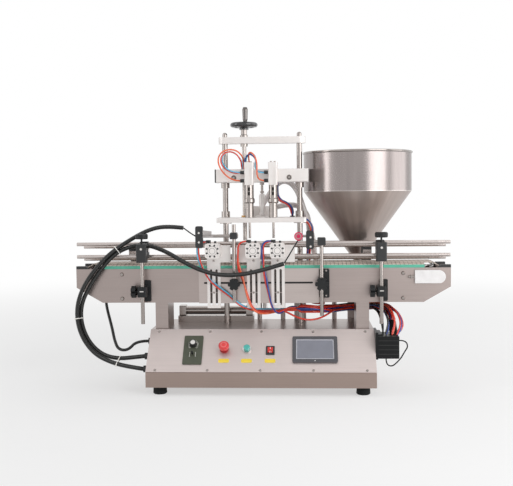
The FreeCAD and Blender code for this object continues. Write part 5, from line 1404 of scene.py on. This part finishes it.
class FILLER_OT_air_tubes(bpy.types.Operator):
    """Lay the stoppers' tube pairs, the bundles, the slack tube and the pairs to the valve island"""

    bl_idname = "filler.air_tubes"
    bl_label = "Air tubes"

    def execute(self, context):
        skin = made_of("Air tube", air_tube_finish, coat=0.3)
        pairs = ((sky, red), (orange, red), (red, blue))
        for i, (route, tones) in enumerate(zip(stopper_routes, pairs)):
            strands = strands_round(tones, 2.6 * mm, 2.6 * mm, start=0.4 + i, turns=0.7 + 0.3 * i, wander=0.9)
            name = f"Stopper_tubes_{i + 1}"
            lay_air_tubes(name, route, strands, tube_pair_width, "frame", skin, "frame_tubes")
        outer = (red, red, blue, red, orange, red, dark, red)
        inner = (red, blue, red, orange)
        strands = strands_round(outer, 10.8 * mm, 2.9 * mm, turns=0.4, wander=0.3, more_wander=0.05)
        strands += strands_round(inner, 4.4 * mm, 2.8 * mm, start=0.7, turns=-0.3, wander=0.4)
        lay_air_tubes("Main_tubes", main_route, strands, main_bundle_width, "frame", skin, "frame_tubes")
        pairs = ((red, blue), (orange, red), (blue, red), (dark, dark), (dark, blue))
        fine = {"step": 3 * mm, "sides": 12}
        for i, (route, tones) in enumerate(zip(valve_tube_routes, pairs)):
            strands = strands_round(tones, 2.5 * mm, 2.6 * mm, start=1.1 * i, turns=0.5, wander=0.4)
            lay_air_tubes(f"Valve_tubes_{i + 1}", route, strands, tube_pair_width, "frame", skin, **fine)
        strands = strands_round((red,), 0.0, slack_tube_width / 2)
        lay_air_tubes(
            "Slack_tube", slack_route, strands, slack_tube_width, "frame", skin, step=3 * mm, sides=14
        )
        strands = strands_round(inner, 4.4 * mm, 2.8 * mm, turns=0.8, wander=0.4)
        holder = bend("lift", "frame", drop_route[0], drop_route[drop_rests_from])
        lay_air_tubes("Drop_tubes", drop_route, strands, drop_bundle_width, holder, skin, "frame_tubes")
        return {"FINISHED"}


class FILLER_OT_head_tubes(bpy.types.Operator):
    """Lay the head cylinders' loops, the bundle down from the beam and the link hoses"""

    bl_idname = "filler.head_tubes"
    bl_label = "Head tubes"

    def execute(self, context):
        skin = made_of("Head air tube", air_tube_finish, coat=0.3)
        fine = {"step": 2.5 * mm}
        for name, route, tones, start in (
            ("Left_loop", left_loop_route, (red, sky), 0.3),
            ("Right_loop", right_loop_route, (sky, blue), 2.0),
        ):
            strands = strands_round(tones, 2.4 * mm, 2.3 * mm, start=start, turns=0.8, wander=0.5)
            lay_air_tubes(name, route, strands, tube_pair_width, "beam", skin, "head_tubes", **fine)
        strands = strands_round((red, red, blue, blue), 3.9 * mm, 2.7 * mm, start=0.5, turns=0.5, wander=0.3)
        holder = bend("beam", "lift", bundle_route[0], bundle_bend_end)
        lay_air_tubes(
            "Beam_tubes", bundle_route, strands, beam_bundle_width, holder, skin, "lift_tubes", **fine
        )
        strands = strands_round((orange,), 0.0, outer_loop_width / 2)
        for name, route in (("Left_outer_loop", left_outer_route), ("Right_outer_loop", right_outer_route)):
            lay_air_tubes(name, route, strands, outer_loop_width, "beam", skin, sides=14, **fine)
        clear = made_of("Link hose", hose_finish, transmission=0.35)
        for side, x in zip(("left", "right"), head_xs):
            ends = np.array([(x, y, link_hose_z) for y in link_hose_ys])
            wall = context.scene.filler_tubes.hose_wall
            hose = hollow_tube(f"Link_hose_{side}", ends, link_hose_width, wall)
            fasten(hose, bend("beam", "lift", *ends), "pale_hose", clear, "lift_tubes")
        return {"FINISHED"}


class FILLER_OT_product_hoses(bpy.types.Operator):
    """Lay the two clear product hoses from the pump to the filling head"""

    bl_idname = "filler.product_hoses"
    bl_label = "Product hoses"

    def execute(self, context):
        clear = made_of("Product hose", hose_finish, transmission=0.35)
        for i, (route, rests_from) in enumerate(zip(product_routes, hoses_rest_from)):
            path = smooth_route(route)
            wall = context.scene.filler_tubes.hose_wall
            hose = hollow_tube(f"Product_hose_{i + 1}", path, product_hose_width, wall)
            holder = bend("lift", "frame", route[0], route[rests_from])
            fasten(hose, holder, "pale_hose", clear, "product_hoses")
        return {"FINISHED"}


class FILLER_OT_cabinet(bpy.types.Operator):
    """Finish the cabinet and its feet"""

    bl_idname = "filler.cabinet"
    bl_label = "Cabinet"

    def execute(self, context):
        dress(cabinet_dressing)
        return {"FINISHED"}


class FILLER_OT_controls(bpy.types.Operator):
    """Finish the control panel, its switches and screen, and stick on the bare labels"""

    bl_idname = "filler.controls"
    bl_label = "Control panel"

    def execute(self, context):
        dress(controls_dressing)
        vinyl = made_of("Yellow label", label_finish)
        for name, x in (("Stop_label", stop_x), ("Start_label", start_x), ("Power_label", rocker_x)):
            label = rounded_plate(name, x, label_rise, label_width, label_height, label_thick)
            fasten(label, "frame", "pale_plastic", vinyl)
        return {"FINISHED"}


class FILLER_OT_conveyor(bpy.types.Operator):
    """Finish the conveyor: side plates, legs, slats, wear strips, ends and motor"""

    bl_idname = "filler.conveyor"
    bl_label = "Conveyor"

    def execute(self, context):
        dress(conveyor_dressing)
        return {"FINISHED"}


class FILLER_OT_stoppers(bpy.types.Operator):
    """Finish the bottle stoppers and the sensor stands"""

    bl_idname = "filler.stoppers"
    bl_label = "Stoppers and sensors"

    def execute(self, context):
        dress(stoppers_dressing)
        return {"FINISHED"}


class FILLER_OT_guards(bpy.types.Operator):
    """Finish the guide rails, their posts and clamps, and all black knobs"""

    bl_idname = "filler.guards"
    bl_label = "Guide rails"

    def execute(self, context):
        dress(guards_dressing)
        return {"FINISHED"}


class FILLER_OT_filling_head(bpy.types.Operator):
    """Finish the columns, spindle, lift plate, beam, cylinders and valves, and all like bright parts"""

    bl_idname = "filler.filling_head"
    bl_label = "Filling head"

    def execute(self, context):
        dress(head_dressing)
        return {"FINISHED"}


class FILLER_OT_pump(bpy.types.Operator):
    """Finish the hopper, the metering pump and the valve island"""

    bl_idname = "filler.pump"
    bl_label = "Hopper, pump and valves"

    def execute(self, context):
        dress(pump_dressing)
        return {"FINISHED"}


class FILLER_PT_panel(bpy.types.Panel):
    """Lists the settings and the operators in the 3D view's sidebar"""

    bl_idname = "FILLER_PT_panel"
    bl_label = "Filling machine"
    bl_space_type = "VIEW_3D"
    bl_region_type = "UI"
    bl_category = "Filler"

    def draw(self, context):
        layout = self.layout
        for group in settings_groups:
            settings = getattr(context.scene, group)
            for name in settings.bl_rna.properties.keys():
                if name not in ("rna_type", "name"):
                    layout.prop(settings, name)
        for operator in operators:
            layout.operator(operator.bl_idname)


settings_groups = {
    "filler_colours": FillerColours,
    "filler_tubes": FillerTubes,
    "filler_stage": FillerStage,
}
operators = (
    FILLER_OT_stage, FILLER_OT_conduits, FILLER_OT_air_tubes, FILLER_OT_head_tubes,
    FILLER_OT_product_hoses, FILLER_OT_cabinet, FILLER_OT_controls, FILLER_OT_conveyor,
    FILLER_OT_stoppers, FILLER_OT_guards, FILLER_OT_filling_head, FILLER_OT_pump,
)


def register():
    """Let the program know the settings, the operators and the panel."""
    for made in (*settings_groups.values(), *operators, FILLER_PT_panel):
        bpy.utils.register_class(made)
    for name, group in settings_groups.items():
        setattr(bpy.types.Scene, name, bpy.props.PointerProperty(type=group))


def unregister():
    """Take them away again, in the other order."""
    for name in settings_groups:
        delattr(bpy.types.Scene, name)
    for made in (FILLER_PT_panel, *reversed(operators), *settings_groups.values()):
        bpy.utils.unregister_class(made)


def main():
    """Run every operator in order."""
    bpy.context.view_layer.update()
    register()
    for operator in operators:
        getattr(bpy.ops.filler, operator.bl_idname.split(".")[1])()


if __name__ == "__main__":
    main()
